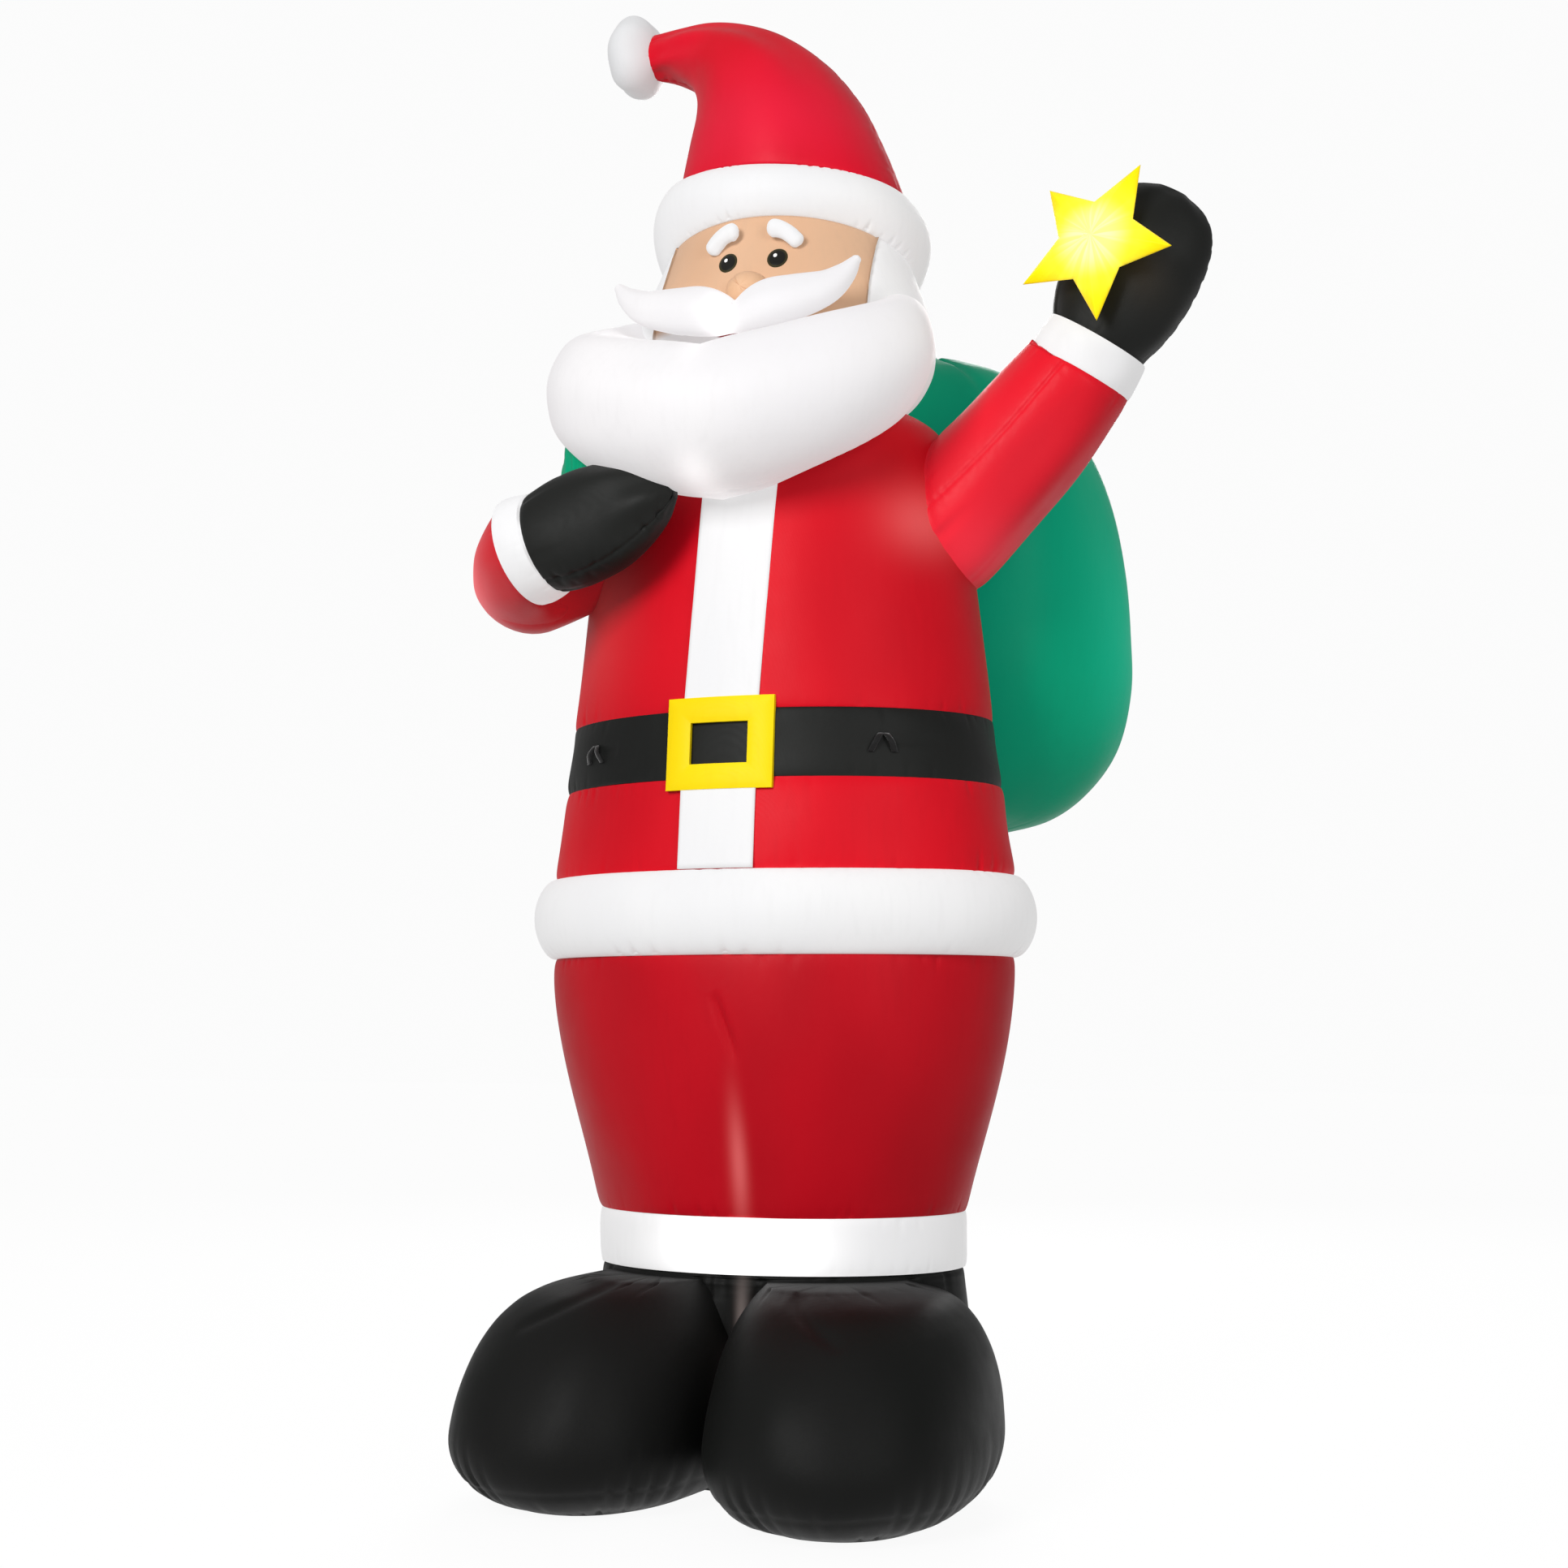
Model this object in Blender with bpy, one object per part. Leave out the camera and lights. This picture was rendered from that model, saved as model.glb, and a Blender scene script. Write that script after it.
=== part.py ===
"""Giant inflatable Santa for a yard, at its real size of about 3.7 m, with a sack and a star.

Units are metres, +Z is up and the figure faces -Y, so its left side is at +X.
The origin is on the ground under the middle of the body.
Every sewn panel or air chamber that shows is its own closed solid.
"""

import math

import bmesh
import bpy
from mathutils import Matrix, Vector

# Seams: the sliver of space kept between two panels that are sewn together
SEAM_GAP = 0.0008
BIG_SIDES = 24
ARM_SIDES = 20
SMALL_SIDES = 14

# Heights of the sewn bands, from the ground up
BOOT_HEIGHT = 0.505
CUFF_HEIGHT = 0.130
TROUSER_HEIGHT = 0.603
HEM_HEIGHT = 0.197
SKIRT_HEIGHT = 0.213
BELT_WIDTH = 0.162
CHEST_HEIGHT = 0.805

# Body girth, as half of the width from side to side
BOOT_SHAFT_HALF_WIDTH = 0.448
CUFF_HALF_WIDTH = 0.460
HIP_HALF_WIDTH = 0.582
HEM_BULGE = 0.056
BELT_LOW_HALF_WIDTH = 0.554
BELT_TOP_HALF_WIDTH = 0.536
BODY_FLATNESS = 0.74
SOLE_SPREAD = 0.015

# Boots
BOOT_HALF_WIDTH = 0.318
BOOT_HALF_LENGTH = 0.470
BOOT_FORWARD = 0.345
# How far the left boot stands ahead of the middle, and the right one behind it
BOOT_STEP = 0.020
BOOT_SPLAY = math.radians(5)
# The power of the boot's outline from above, where 2 is an ellipse
BOOT_SQUARENESS = 2.25
# How far the boots are pressed flat against each other
BOOT_SQUASH = 0.014
# How far to the left of the body's middle the boots meet
BOOTS_MEET = 0.015
BOOT_BELOW_CUFF = 0.012

# Coat trim and belt
BAND_WIDTH = 0.184
BAND_THICKNESS = 0.006
BAND_BELOW_NECK = 0.120
# How far to the left the upper strip's top end lies
BAND_TOP_LEFT = 0.036
BAND_ABOVE_HEM = 0.004
BUCKLE_WIDTH = 0.262
BUCKLE_HEIGHT = 0.218
BUCKLE_FRAME = 0.060
BUCKLE_THICKNESS = 0.008
TAB_WIDTH = 0.046
TAB_HEIGHT = 0.050
TAB_THICKNESS = 0.010
TAB_ANGLE = math.radians(42)

# Head
HEAD_BACK = 0.065
HEAD_HALF_WIDTH = 0.345
HEAD_HALF_DEPTH = 0.300
HEAD_HEIGHT = 0.410
HEAD_SINK = 0.050
HEAD_LEAN = 0.110
FACE_HALF_WIDTH = 0.268
FACE_DEPTH = 0.200
FACE_ABOVE_CHIN = 0.060
# How far to the left on the head the face sits
FACE_LEFT = 0.024
BROW_LINE_SLOPE = 0.26
HAT_ROLL_SLOPE = -0.08
EYE_SPACING = 0.126
EYE_WIDTH = 0.046
EYE_HEIGHT = 0.050
EYE_THICKNESS = 0.003
EYE_BELOW_TRIM = 0.050
BROW_LENGTH = 0.052
BROW_THICKNESS = 0.037
BROW_SPACING = 0.160
BROW_ABOVE_EYE = 0.076
BROW_DROP = 0.032
NOSE_WIDTH = 0.110
NOSE_BELOW_EYE = 0.088
NOSE_LENGTH = 0.060

# Beard and moustache
BEARD_AXIS = -0.100
BEARD_REACH = 0.352
BEARD_RADIUS = 0.180
BEARD_BELOW_EYE = 0.442
BEARD_RISE = 0.340
MOUSTACHE_HALF_SPAN = 0.308
MOUSTACHE_HALF_HEIGHT = 0.067
MOUSTACHE_FORWARD = 0.375
MOUSTACHE_SWEEP = 0.065
MOUSTACHE_RISE = 0.118
MOUSTACHE_BELOW_EYE = 0.172
# How far the middle of the moustache sits to the left
MOUSTACHE_LEFT = 0.026

# Hat
TRIM_HEIGHT = 0.212
TRIM_BULGE = 0.036
TRIM_SIDE_BULGE = 0.012
HAT_BASE_HALF_WIDTH = 0.300
HAT_RISE = 0.500
POMPOM_RADIUS = 0.107
POMPOM_THICKNESS = 0.136
POMPOM_RAISED = 0.008

# Arms: how far their points lie out from the middle, back or ahead, with heights as shares of the chest
SHOULDER_BACK = 0.020
RAISED_SHOULDER_OUT = 0.300
RAISED_BEND_OUT = 0.455
RAISED_BEND_BACK = 0.010
RAISED_WRIST_OUT = 0.768
RAISED_SAG = 0.014
BENT_SHOULDER_OUT = 0.330
ELBOW_OUT = 0.562
ELBOW_AHEAD = 0.272
BENT_WRIST_OUT = 0.509
BENT_WRIST_AHEAD = 0.432
BENT_CUFF_START = 0.012
FOREARM_OVERLAP = 0.030
ARM_CUFF_RADIUS = 0.137
ARM_CUFF_WIDTH = 0.089
SLEEVE_ROOT_HALF_WIDTH = 0.190
SLEEVE_ROOT_HALF_THICKNESS = 0.150
MITTEN_LENGTH = 0.390
MITTEN_HALF_WIDTH = 0.166
MITTEN_HALF_THICKNESS = 0.118
BENT_SLEEVE_RADIUS = 0.143
ARM_TAPER = 0.018
HOLDING_MITTEN_LENGTH = 0.358
HOLDING_MITTEN_HALF_WIDTH = 0.142
HOLDING_MITTEN_HALF_THICKNESS = 0.095

# The way that the raised hand points
HAND_WAY = (0.490, -0.08, 0.868)

# Star
STAR_RADIUS = 0.202
STAR_INNER_SHARE = 0.50
STAR_THICKNESS = 0.110
STAR_EDGE = 0.006
STAR_LEAN = math.radians(32)
STAR_TURN = math.radians(-15)
STAR_RIGHT = 0.051
STAR_RAISED = 0.060

# Sack: how far it sits to the left, hangs below the belt's top, presses in and leans
SACK_HALF_WIDTH = 0.500
SACK_HALF_DEPTH = 0.400
SACK_HEIGHT = 1.262
SACK_LEFT = 0.235
SACK_HANG = 0.220
SACK_PRESSED = 0.0566
SACK_LEAN_RIGHT = 0.040
SACK_LEAN_AHEAD = 0.200
SACK_NECK_RADIUS = 0.088
BEARD_ON_SACK = 0.003

# Levels that follow from the bands
CUFF_LOW = BOOT_HEIGHT
TROUSER_LOW = CUFF_LOW + CUFF_HEIGHT
HEM_LOW = TROUSER_LOW + TROUSER_HEIGHT
SKIRT_LOW = HEM_LOW + HEM_HEIGHT
BELT_LOW = SKIRT_LOW + SKIRT_HEIGHT
CHEST_LOW = BELT_LOW + BELT_WIDTH
NECK = CHEST_LOW + CHEST_HEIGHT
TRIM_LOW = NECK - HEAD_SINK + HEAD_HEIGHT
TRIM_TOP = TRIM_LOW + TRIM_HEIGHT
EYE_LEVEL = TRIM_LOW - EYE_BELOW_TRIM

# Chest outline: share of the chest's height, share of the half width at the belt's top
CHEST_OUTLINE = (
    (0.00, 1.000),
    (0.36, 0.937),
    (0.66, 0.880),
    (0.85, 0.800),
    (0.94, 0.660),
    (0.985, 0.440),
    (1.00, 0.250),
)

# Points closer than this are welded after a cut
WELD = 0.00005
# Each cut piece's form as it was before its cuts
WHOLE_FORMS = {}

COLOURS = {
    "red_fabric": (0.62, 0.02, 0.035),
    "white_fabric": (0.88, 0.88, 0.88),
    "black_fabric": (0.012, 0.013, 0.012),
    "yellow_fabric": (0.95, 0.74, 0.0),
    "green_fabric": (0.0, 0.26, 0.13),
    "skin_fabric": (0.80, 0.50, 0.33),
}


def clear_scene():
    for obj in list(bpy.data.objects):
        bpy.data.objects.remove(obj, do_unlink=True)


def collection(name):
    made = bpy.data.collections.new(name)
    bpy.context.scene.collection.children.link(made)
    return made


def fabric(name):
    """Coated polyester, matt with a faint sheen."""
    made = bpy.data.materials.get(name)
    if made:
        return made
    made = bpy.data.materials.new(name)
    made.use_nodes = True
    shader = made.node_tree.nodes["Principled BSDF"]
    shader.inputs["Base Color"].default_value = (*COLOURS[name], 1.0)
    shader.inputs["Roughness"].default_value = 0.55
    shader.inputs["Metallic"].default_value = 0.0
    return made


# Curves and sections
def smooth(rows, count):
    """Rows of numbers resampled to count rows along a Catmull-Rom curve through them."""
    rows = [Vector(row) for row in rows]
    ends = [rows[0] * 2 - rows[1], *rows, rows[-1] * 2 - rows[-2]]
    spans = len(rows) - 1
    made = []
    for i in range(count):
        at = spans * i / (count - 1)
        k = min(int(at), spans - 1)
        t = at - k
        a, b, c, d = ends[k : k + 4]
        made.append(
            0.5
            * (
                2 * b
                + (c - a) * t
                + (2 * a - 5 * b + 4 * c - d) * t**2
                + (3 * b - a - 3 * c + d) * t**3
            )
        )
    return made


def smooth_wide(rows, count):
    """As smooth, for rows of five numbers."""
    first = smooth([row[:3] for row in rows], count)
    last = smooth([(*row[3:], 0.0) for row in rows], count)
    return [(*a, b.x, b.y) for a, b in zip(first, last)]


def section(centre, across, along, sides, power=2.0):
    """One closed cross-section: a superellipse spanned by two half-axis vectors."""
    points = []
    for i in range(sides):
        angle = 2 * math.pi * i / sides
        c, s = math.cos(angle), math.sin(angle)
        u = math.copysign(abs(c) ** (2 / power), c)
        v = math.copysign(abs(s) ** (2 / power), s)
        points.append(Vector(centre) + Vector(across) * u + Vector(along) * v)
    return points


def loft(name, sections, material, home):
    """A closed solid through unlike cross-sections, which no Blender primitive makes."""
    mesh = bpy.data.meshes.new(name)
    bm = bmesh.new()
    rings = [[bm.verts.new(p) for p in points] for points in sections]
    for low, high in zip(rings, rings[1:]):
        for i in range(len(low)):
            j = (i + 1) % len(low)
            bm.faces.new((low[i], low[j], high[j], high[i]))
    bm.faces.new(list(reversed(rings[0])))
    bm.faces.new(rings[-1])
    bmesh.ops.recalc_face_normals(bm, faces=bm.faces)
    bm.to_mesh(mesh)
    bm.free()
    mesh.shade_smooth()
    mesh.set_sharp_from_angle(angle=math.radians(50))
    return place(name, mesh, material, home)


def place(name, mesh, material, home, location=(0, 0, 0)):
    obj = bpy.data.objects.new(name, mesh)
    obj.location = location
    home.objects.link(obj)
    mesh.materials.clear()
    mesh.materials.append(fabric(material))
    return obj


def tube(
    name,
    rows,
    material,
    home,
    sides=ARM_SIDES,
    flat=(0, 1, 0),
    rounded=(False, False),
    first=None,
    last=None,
):
    """A tapering tube: each row is x, y, z, half width, half thickness along flat.

    A first or last direction sets the tube's mouth square to it.
    """
    flat = Vector(flat)
    centres = [Vector(row[:3]) for row in rows]
    sections = []
    for i, row in enumerate(rows):
        ahead = centres[min(i + 1, len(rows) - 1)] - centres[max(i - 1, 0)]
        if i == 0 and first:
            ahead = first
        if i == len(rows) - 1 and last:
            ahead = last
        side = flat.cross(ahead).normalized()
        lift = ahead.cross(side).normalized()
        sections.append((centres[i], side, lift, row[3], row[4], ahead.normalized()))
    sections = dome(sections, rounded)
    return loft(
        name,
        [section(c, side * w, lift * h, sides) for c, side, lift, w, h, _ in sections],
        material,
        home,
    )


def dome(sections, rounded, steps=4):
    """Adds rounded ends, as deep as the tube's smaller half size there."""
    made = list(sections)
    for at_end, wanted in enumerate(rounded):
        if not wanted:
            continue
        c, side, lift, w, h, ahead = made[-1] if at_end else made[0]
        way = ahead if at_end else -ahead
        caps = []
        for k in range(1, steps + 1):
            angle = math.radians(84) * k / steps
            share = math.cos(angle)
            caps.append((c + way * min(w, h) * math.sin(angle), side, lift, w * share, h * share, ahead))
        made = made + caps if at_end else caps[::-1] + made
    return made


# Fitting one panel against its neighbours
def flattened(obj):
    """The object with its modifiers applied, as a plain mesh in world space."""
    bpy.context.view_layer.update()
    graph = bpy.context.evaluated_depsgraph_get()
    mesh = bpy.data.meshes.new_from_object(obj.evaluated_get(graph), depsgraph=graph)
    mesh.transform(obj.matrix_world)
    return mesh


def grown(obj, cutters, by=SEAM_GAP):
    """A hidden copy of a piece's whole form, before its own cuts, larger all round by a seam's gap."""
    whole = WHOLE_FORMS[obj.name].copy() if obj.name in WHOLE_FORMS else flattened(obj)
    copy = bpy.data.objects.new(obj.name + "_seam", whole)
    cutters.objects.link(copy)
    copy.hide_render = True
    copy.display_type = "WIRE"
    push = copy.modifiers.new("seam_gap", "DISPLACE")
    push.strength = by
    push.mid_level = 0.0
    return copy


def boolean(obj, other, operation):
    cut = obj.modifiers.new(operation.lower(), "BOOLEAN")
    cut.operation = operation
    cut.solver = "EXACT"
    cut.object = other


def bodies_of(bm):
    """The separate bodies in a mesh, as sets of vertices, smallest first."""
    bodies = []
    left = set(bm.verts)
    while left:
        body = set()
        reached = [left.pop()]
        while reached:
            vert = reached.pop()
            body.add(vert)
            for edge in vert.link_edges:
                other = edge.other_vert(vert)
                if other in left:
                    left.discard(other)
                    reached.append(other)
        bodies.append(body)
    return sorted(bodies, key=len)


def settled(obj):
    """Applies a piece's cuts, welds the shortest edges and keeps the biggest body that is left."""
    mesh = flattened(obj)
    bm = bmesh.new()
    bm.from_mesh(mesh)
    bmesh.ops.remove_doubles(bm, verts=bm.verts, dist=WELD)
    bmesh.ops.dissolve_degenerate(bm, edges=bm.edges, dist=WELD)
    smaller = bodies_of(bm)[:-1]
    bmesh.ops.delete(bm, geom=[v for body in smaller for v in body], context="VERTS")
    bmesh.ops.connect_verts_concave(bm, faces=bm.faces)
    bmesh.ops.triangulate(bm, faces=bm.faces)
    bm.to_mesh(mesh)
    bm.free()
    mesh.transform(obj.matrix_world.inverted())
    obj.modifiers.clear()
    obj.data = mesh
    return obj


def fit_against(obj, cutters, *neighbours, by=SEAM_GAP):
    """Cuts a piece back to its seams with the pieces that it is sewn to or pressed against."""
    if obj.name not in WHOLE_FORMS:
        WHOLE_FORMS[obj.name] = flattened(obj)
    for neighbour in neighbours:
        boolean(obj, grown(neighbour, cutters, by), "DIFFERENCE")
        settled(obj)
    return obj


def applied(obj, form, cutters, proud, under=SEAM_GAP):
    """Makes a prism into a panel that lies on a form: from under to proud above its surface."""
    boolean(obj, grown(form, cutters, by=proud), "INTERSECT")
    boolean(obj, grown(form, cutters, by=under), "DIFFERENCE")
    return settled(obj)


def box(name, low, high, material, home):
    """A box between two corners, from the cube primitive."""
    low, high = Vector(low), Vector(high)
    mesh = bpy.data.meshes.new(name)
    bm = bmesh.new()
    bmesh.ops.create_cube(bm, size=1.0)
    bmesh.ops.scale(bm, vec=high - low, verts=bm.verts)
    bm.to_mesh(mesh)
    bm.free()
    return place(name, mesh, material, home, (low + high) / 2)


def cutter(obj, cutters):
    for owner in list(obj.users_collection):
        owner.objects.unlink(obj)
    cutters.objects.link(obj)
    obj.hide_render = True
    obj.display_type = "WIRE"
    return obj


# Body
def body_half_width(z):
    """Half of the body's width at a height, from the trousers' foot to the neck."""
    if z <= HEM_LOW:
        t = max(0.0, (z - TROUSER_LOW) / TROUSER_HEIGHT)
        return CUFF_HALF_WIDTH + (HIP_HALF_WIDTH - CUFF_HALF_WIDTH) * math.sin(t * math.pi / 2) ** 1.15
    if z <= SKIRT_LOW:
        return HIP_HALF_WIDTH
    if z <= BELT_LOW:
        t = (z - SKIRT_LOW) / SKIRT_HEIGHT
        return HIP_HALF_WIDTH + (BELT_LOW_HALF_WIDTH - HIP_HALF_WIDTH) * t
    if z <= CHEST_LOW:
        t = (z - BELT_LOW) / BELT_WIDTH
        return BELT_LOW_HALF_WIDTH + (BELT_TOP_HALF_WIDTH - BELT_LOW_HALF_WIDTH) * t
    share = min(1.0, (z - CHEST_LOW) / CHEST_HEIGHT)
    for (low, wide), (high, narrow) in zip(CHEST_OUTLINE, CHEST_OUTLINE[1:]):
        if share <= high:
            t = (share - low) / (high - low)
            return BELT_TOP_HALF_WIDTH * (wide + (narrow - wide) * t)
    return BELT_TOP_HALF_WIDTH * CHEST_OUTLINE[-1][1]


def body_section(z, extra=0.0):
    half = body_half_width(z) + extra
    return section((0, 0, z), (half, 0, 0), (0, half * BODY_FLATNESS, 0), BIG_SIDES)


def levels(low, high, count):
    """Heights of a band's rings, pulled in by half a seam's gap at both ends."""
    low, high = low + SEAM_GAP / 2, high - SEAM_GAP / 2
    return [low + (high - low) * i / count for i in range(count + 1)]


def make_boot_shaft(home):
    """The black ankle between the boots and the cuff, which also stands on the ground behind."""
    half = BOOT_SHAFT_HALF_WIDTH
    rows = (
        (0.0, half * 0.78),
        (0.08, half * 0.93),
        (0.3, half + SOLE_SPREAD),
        (CUFF_LOW - SEAM_GAP / 2, half),
    )
    sections = [section((0, 0, z), (w, 0, 0), (0, w * BODY_FLATNESS, 0), BIG_SIDES) for z, w in rows]
    return loft("boot_shaft", sections, "black_fabric", home)


def make_boot(name, side, home):
    """One big rounded boot: rings of a superellipse stacked from the flat sole to the instep."""
    rows = (
        (0.000, 0.58, 0.63, 0.00, 0.00),
        (0.060, 0.78, 0.81, 0.00, 0.00),
        (0.160, 0.93, 0.94, 0.00, 0.00),
        (0.290, 1.00, 1.00, 0.00, 0.00),
        (0.440, 0.99, 0.985, 0.01, 0.00),
        (0.590, 0.95, 0.93, 0.03, 0.00),
        (0.730, 0.89, 0.85, 0.06, 0.01),
        (0.850, 0.80, 0.75, 0.10, 0.03),
        (0.940, 0.68, 0.63, 0.15, 0.08),
        (1.000, 0.48, 0.46, 0.22, 0.22),
    )
    top = BOOT_HEIGHT - BOOT_BELOW_CUFF
    sections = []
    for height, wide, long, back, inward in rows:
        centre = (-side * BOOT_HALF_WIDTH * inward, BOOT_HALF_LENGTH * back, top * height)
        across, along = (BOOT_HALF_WIDTH * wide, 0, 0), (0, -BOOT_HALF_LENGTH * long, 0)
        sections.append(section(centre, across, along, BIG_SIDES, BOOT_SQUARENESS))
    boot = loft(name, sections, "black_fabric", home)
    apart = side * (BOOT_HALF_WIDTH - BOOT_SQUASH)
    boot.location = (BOOTS_MEET + apart, -BOOT_FORWARD - side * BOOT_STEP, 0)
    boot.rotation_euler.z = side * BOOT_SPLAY
    return boot


def part_boots(boot, side, home, cutters):
    """Cuts a boot flat where the two boots press against each other."""
    low, high = sorted((BOOTS_MEET - side * BOOT_HALF_WIDTH, BOOTS_MEET + side * SEAM_GAP / 2))
    reach = BOOT_FORWARD + 2 * BOOT_HALF_LENGTH
    other_side = box(boot.name + "_side", (low, -reach, -0.1), (high, reach, 1.0), "black_fabric", home)
    boolean(boot, cutter(other_side, cutters), "DIFFERENCE")
    return settled(boot)


def make_body(home):
    """The sewn bands of the body, from the white trouser cuff to the shoulders."""
    made = {}
    bands = (
        ("trouser_cuff", CUFF_LOW, TROUSER_LOW, 1, "white_fabric"),
        ("trousers", TROUSER_LOW, HEM_LOW, 6, "red_fabric"),
        ("coat_skirt", SKIRT_LOW, BELT_LOW, 2, "red_fabric"),
        ("belt", BELT_LOW, CHEST_LOW, 1, "black_fabric"),
    )
    for name, low, high, count, material in bands:
        sections = [body_section(z) for z in levels(low, high, count)]
        made[name] = loft(name, sections, material, home)
    rings = levels(HEM_LOW, SKIRT_LOW, 6)
    sections = [
        body_section(z, HEM_BULGE * math.sin(math.pi * i / (len(rings) - 1)) ** 0.6)
        for i, z in enumerate(rings)
    ]
    made["coat_hem"] = loft("coat_hem", sections, "white_fabric", home)
    shares = [row[0] for row in CHEST_OUTLINE]
    heights = [CHEST_LOW + SEAM_GAP / 2 + share * CHEST_HEIGHT for share in shares]
    made["coat_chest"] = loft("coat_chest", [body_section(z) for z in heights], "red_fabric", home)
    return made


def make_body_form(cutters):
    """The coat's outer surface from the hem to the neck as one guide, which the flat panels follow."""
    heights = [SKIRT_LOW + SEAM_GAP / 2, BELT_LOW]
    heights += [CHEST_LOW + SEAM_GAP / 2 + row[0] * CHEST_HEIGHT for row in CHEST_OUTLINE]
    form = loft("body_form", [body_section(z) for z in heights], "red_fabric", cutters)
    return cutter(form, cutters)


def make_front_band(name, low, high, top_left, form, home, cutters):
    """The white strip sewn down the front of the coat, whose top end can lie to the left."""
    half = BAND_WIDTH / 2
    strip = box(name, (-half, -1.0, low), (half, 0.0, high), "white_fabric", home)
    for corner in strip.data.vertices:
        if corner.co.z > 0:
            corner.co.x += top_left
    return applied(strip, form, cutters, proud=BAND_THICKNESS)


def make_buckle(form, home, cutters):
    """The square yellow buckle, sewn flat over the belt and the front strip."""
    middle = (BELT_LOW + CHEST_LOW) / 2
    half, tall = BUCKLE_WIDTH / 2, BUCKLE_HEIGHT / 2
    low, high = (-half, -1.0, middle - tall), (half, 0.0, middle + tall)
    plate = box("belt_buckle", low, high, "yellow_fabric", home)
    window = box(
        "buckle_window",
        (-half + BUCKLE_FRAME, -1.1, middle - tall + BUCKLE_FRAME),
        (half - BUCKLE_FRAME, 0.1, middle + tall - BUCKLE_FRAME),
        "yellow_fabric",
        home,
    )
    under = BAND_THICKNESS + SEAM_GAP
    applied(plate, form, cutters, proud=under + BUCKLE_THICKNESS, under=under)
    boolean(plate, cutter(window, cutters), "DIFFERENCE")
    return settled(plate)


def make_tether_tab(name, side, form, home, cutters):
    """A small ribbon loop on the belt, where a tether ties on."""
    middle = (BELT_LOW + CHEST_LOW) / 2
    wide = (BELT_LOW_HALF_WIDTH + BELT_TOP_HALF_WIDTH) / 2
    x = side * wide * math.sin(TAB_ANGLE)
    y = -wide * BODY_FLATNESS * math.cos(TAB_ANGLE)
    half, tall = TAB_WIDTH / 2, TAB_HEIGHT / 2
    low, high = (x - half, y - 0.1, middle - tall), (x + half, y + 0.1, middle + tall)
    tab = box(name, low, high, "black_fabric", home)
    return applied(tab, form, cutters, proud=TAB_THICKNESS)


# Head
def head_slope(share):
    """How steeply a head ring rises to the front: level at the neck, as the trim at the forehead."""
    return BROW_LINE_SLOPE * share


def head_section(z, wide, deep, rise, roll=0.0, ahead=0.0):
    """A ring of the head whose front is lifted by rise and whose left side drops by roll."""
    across = (wide, 0, wide * roll)
    along = (0, deep, -deep * rise)
    return section((0, HEAD_BACK - ahead, z), across, along, BIG_SIDES)


def make_head(home):
    """The head's chamber in white, before the face is set into it."""
    rows = (
        (0.00, 0.80, 0.76),
        (0.12, 1.02, 0.92),
        (0.30, 1.13, 1.00),
        (0.48, 1.14, 1.03),
        (0.66, 1.09, 1.02),
        (0.84, 1.01, 0.98),
        (1.00, 0.93, 0.95),
    )
    low = NECK - HEAD_SINK
    sections = [
        head_section(
            low + share * (HEAD_HEIGHT - SEAM_GAP / 2),
            HEAD_HALF_WIDTH * w,
            HEAD_HALF_DEPTH * d,
            head_slope(share),
            ahead=HEAD_LEAN * (1 - share),
        )
        for share, w, d in rows
    ]
    return loft("hair", sections, "white_fabric", home)


def make_face(hair, home, cutters):
    """The skin-coloured front of the head, which takes the place of that part of the hair's chamber."""
    front = HEAD_BACK - HEAD_HALF_DEPTH
    face = place("face", flattened(hair), "skin_fabric", home)
    low, high = NECK - HEAD_SINK + FACE_ABOVE_CHIN, TRIM_TOP
    block = box(
        "face_block",
        (FACE_LEFT - FACE_HALF_WIDTH, front - 0.2, low),
        (FACE_LEFT + FACE_HALF_WIDTH, front + FACE_DEPTH, high),
        "skin_fabric",
        home,
    )
    cutter(block, cutters)
    boolean(face, block, "INTERSECT")
    fit_against(hair, cutters, block)
    return settled(face)


def make_eye(name, side, form, home, cutters):
    """A flat black patch: an upright ellipse sewn on the face."""
    x = FACE_LEFT + side * EYE_SPACING / 2
    across, up = (EYE_WIDTH / 2, 0, 0), (0, 0, EYE_HEIGHT / 2)
    sections = [section((x, y, EYE_LEVEL), across, up, SMALL_SIDES) for y in (-0.6, 0.0)]
    eye = loft(name, sections, "black_fabric", home)
    return applied(eye, form, cutters, proud=EYE_THICKNESS)


def make_eyebrow(name, side, home):
    """A small stuffed arch above the eye."""
    rows = []
    for i in range(7):
        t = i / 6
        x = FACE_LEFT + side * (BROW_SPACING / 2 + BROW_LENGTH * (t - 0.5))
        z = EYE_LEVEL + BROW_ABOVE_EYE - BROW_DROP * t**1.8
        y = HEAD_BACK - HEAD_LEAN * 0.25 - HEAD_HALF_DEPTH * math.sqrt(1 - (x / HEAD_HALF_WIDTH) ** 2)
        full = BROW_THICKNESS / 2 * (1.0 - 0.2 * t)
        rows.append((x, y, z, full, full * 0.8))
    return tube(name, rows, "white_fabric", home, SMALL_SIDES, rounded=(True, True))


def make_nose(home):
    """A small round chamber that stands out of the face above the moustache."""
    mesh = bpy.data.meshes.new("nose")
    bm = bmesh.new()
    bmesh.ops.create_uvsphere(bm, u_segments=SMALL_SIDES, v_segments=9, radius=1.0)
    bmesh.ops.scale(bm, vec=(NOSE_WIDTH / 2, NOSE_LENGTH, NOSE_WIDTH * 0.46), verts=bm.verts)
    bm.to_mesh(mesh)
    bm.free()
    mesh.shade_smooth()
    centre = (FACE_LEFT, HEAD_BACK - HEAD_LEAN * 0.45 - HEAD_HALF_DEPTH, EYE_LEVEL - NOSE_BELOW_EYE)
    return place("nose", mesh, "skin_fabric", home, centre)


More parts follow.
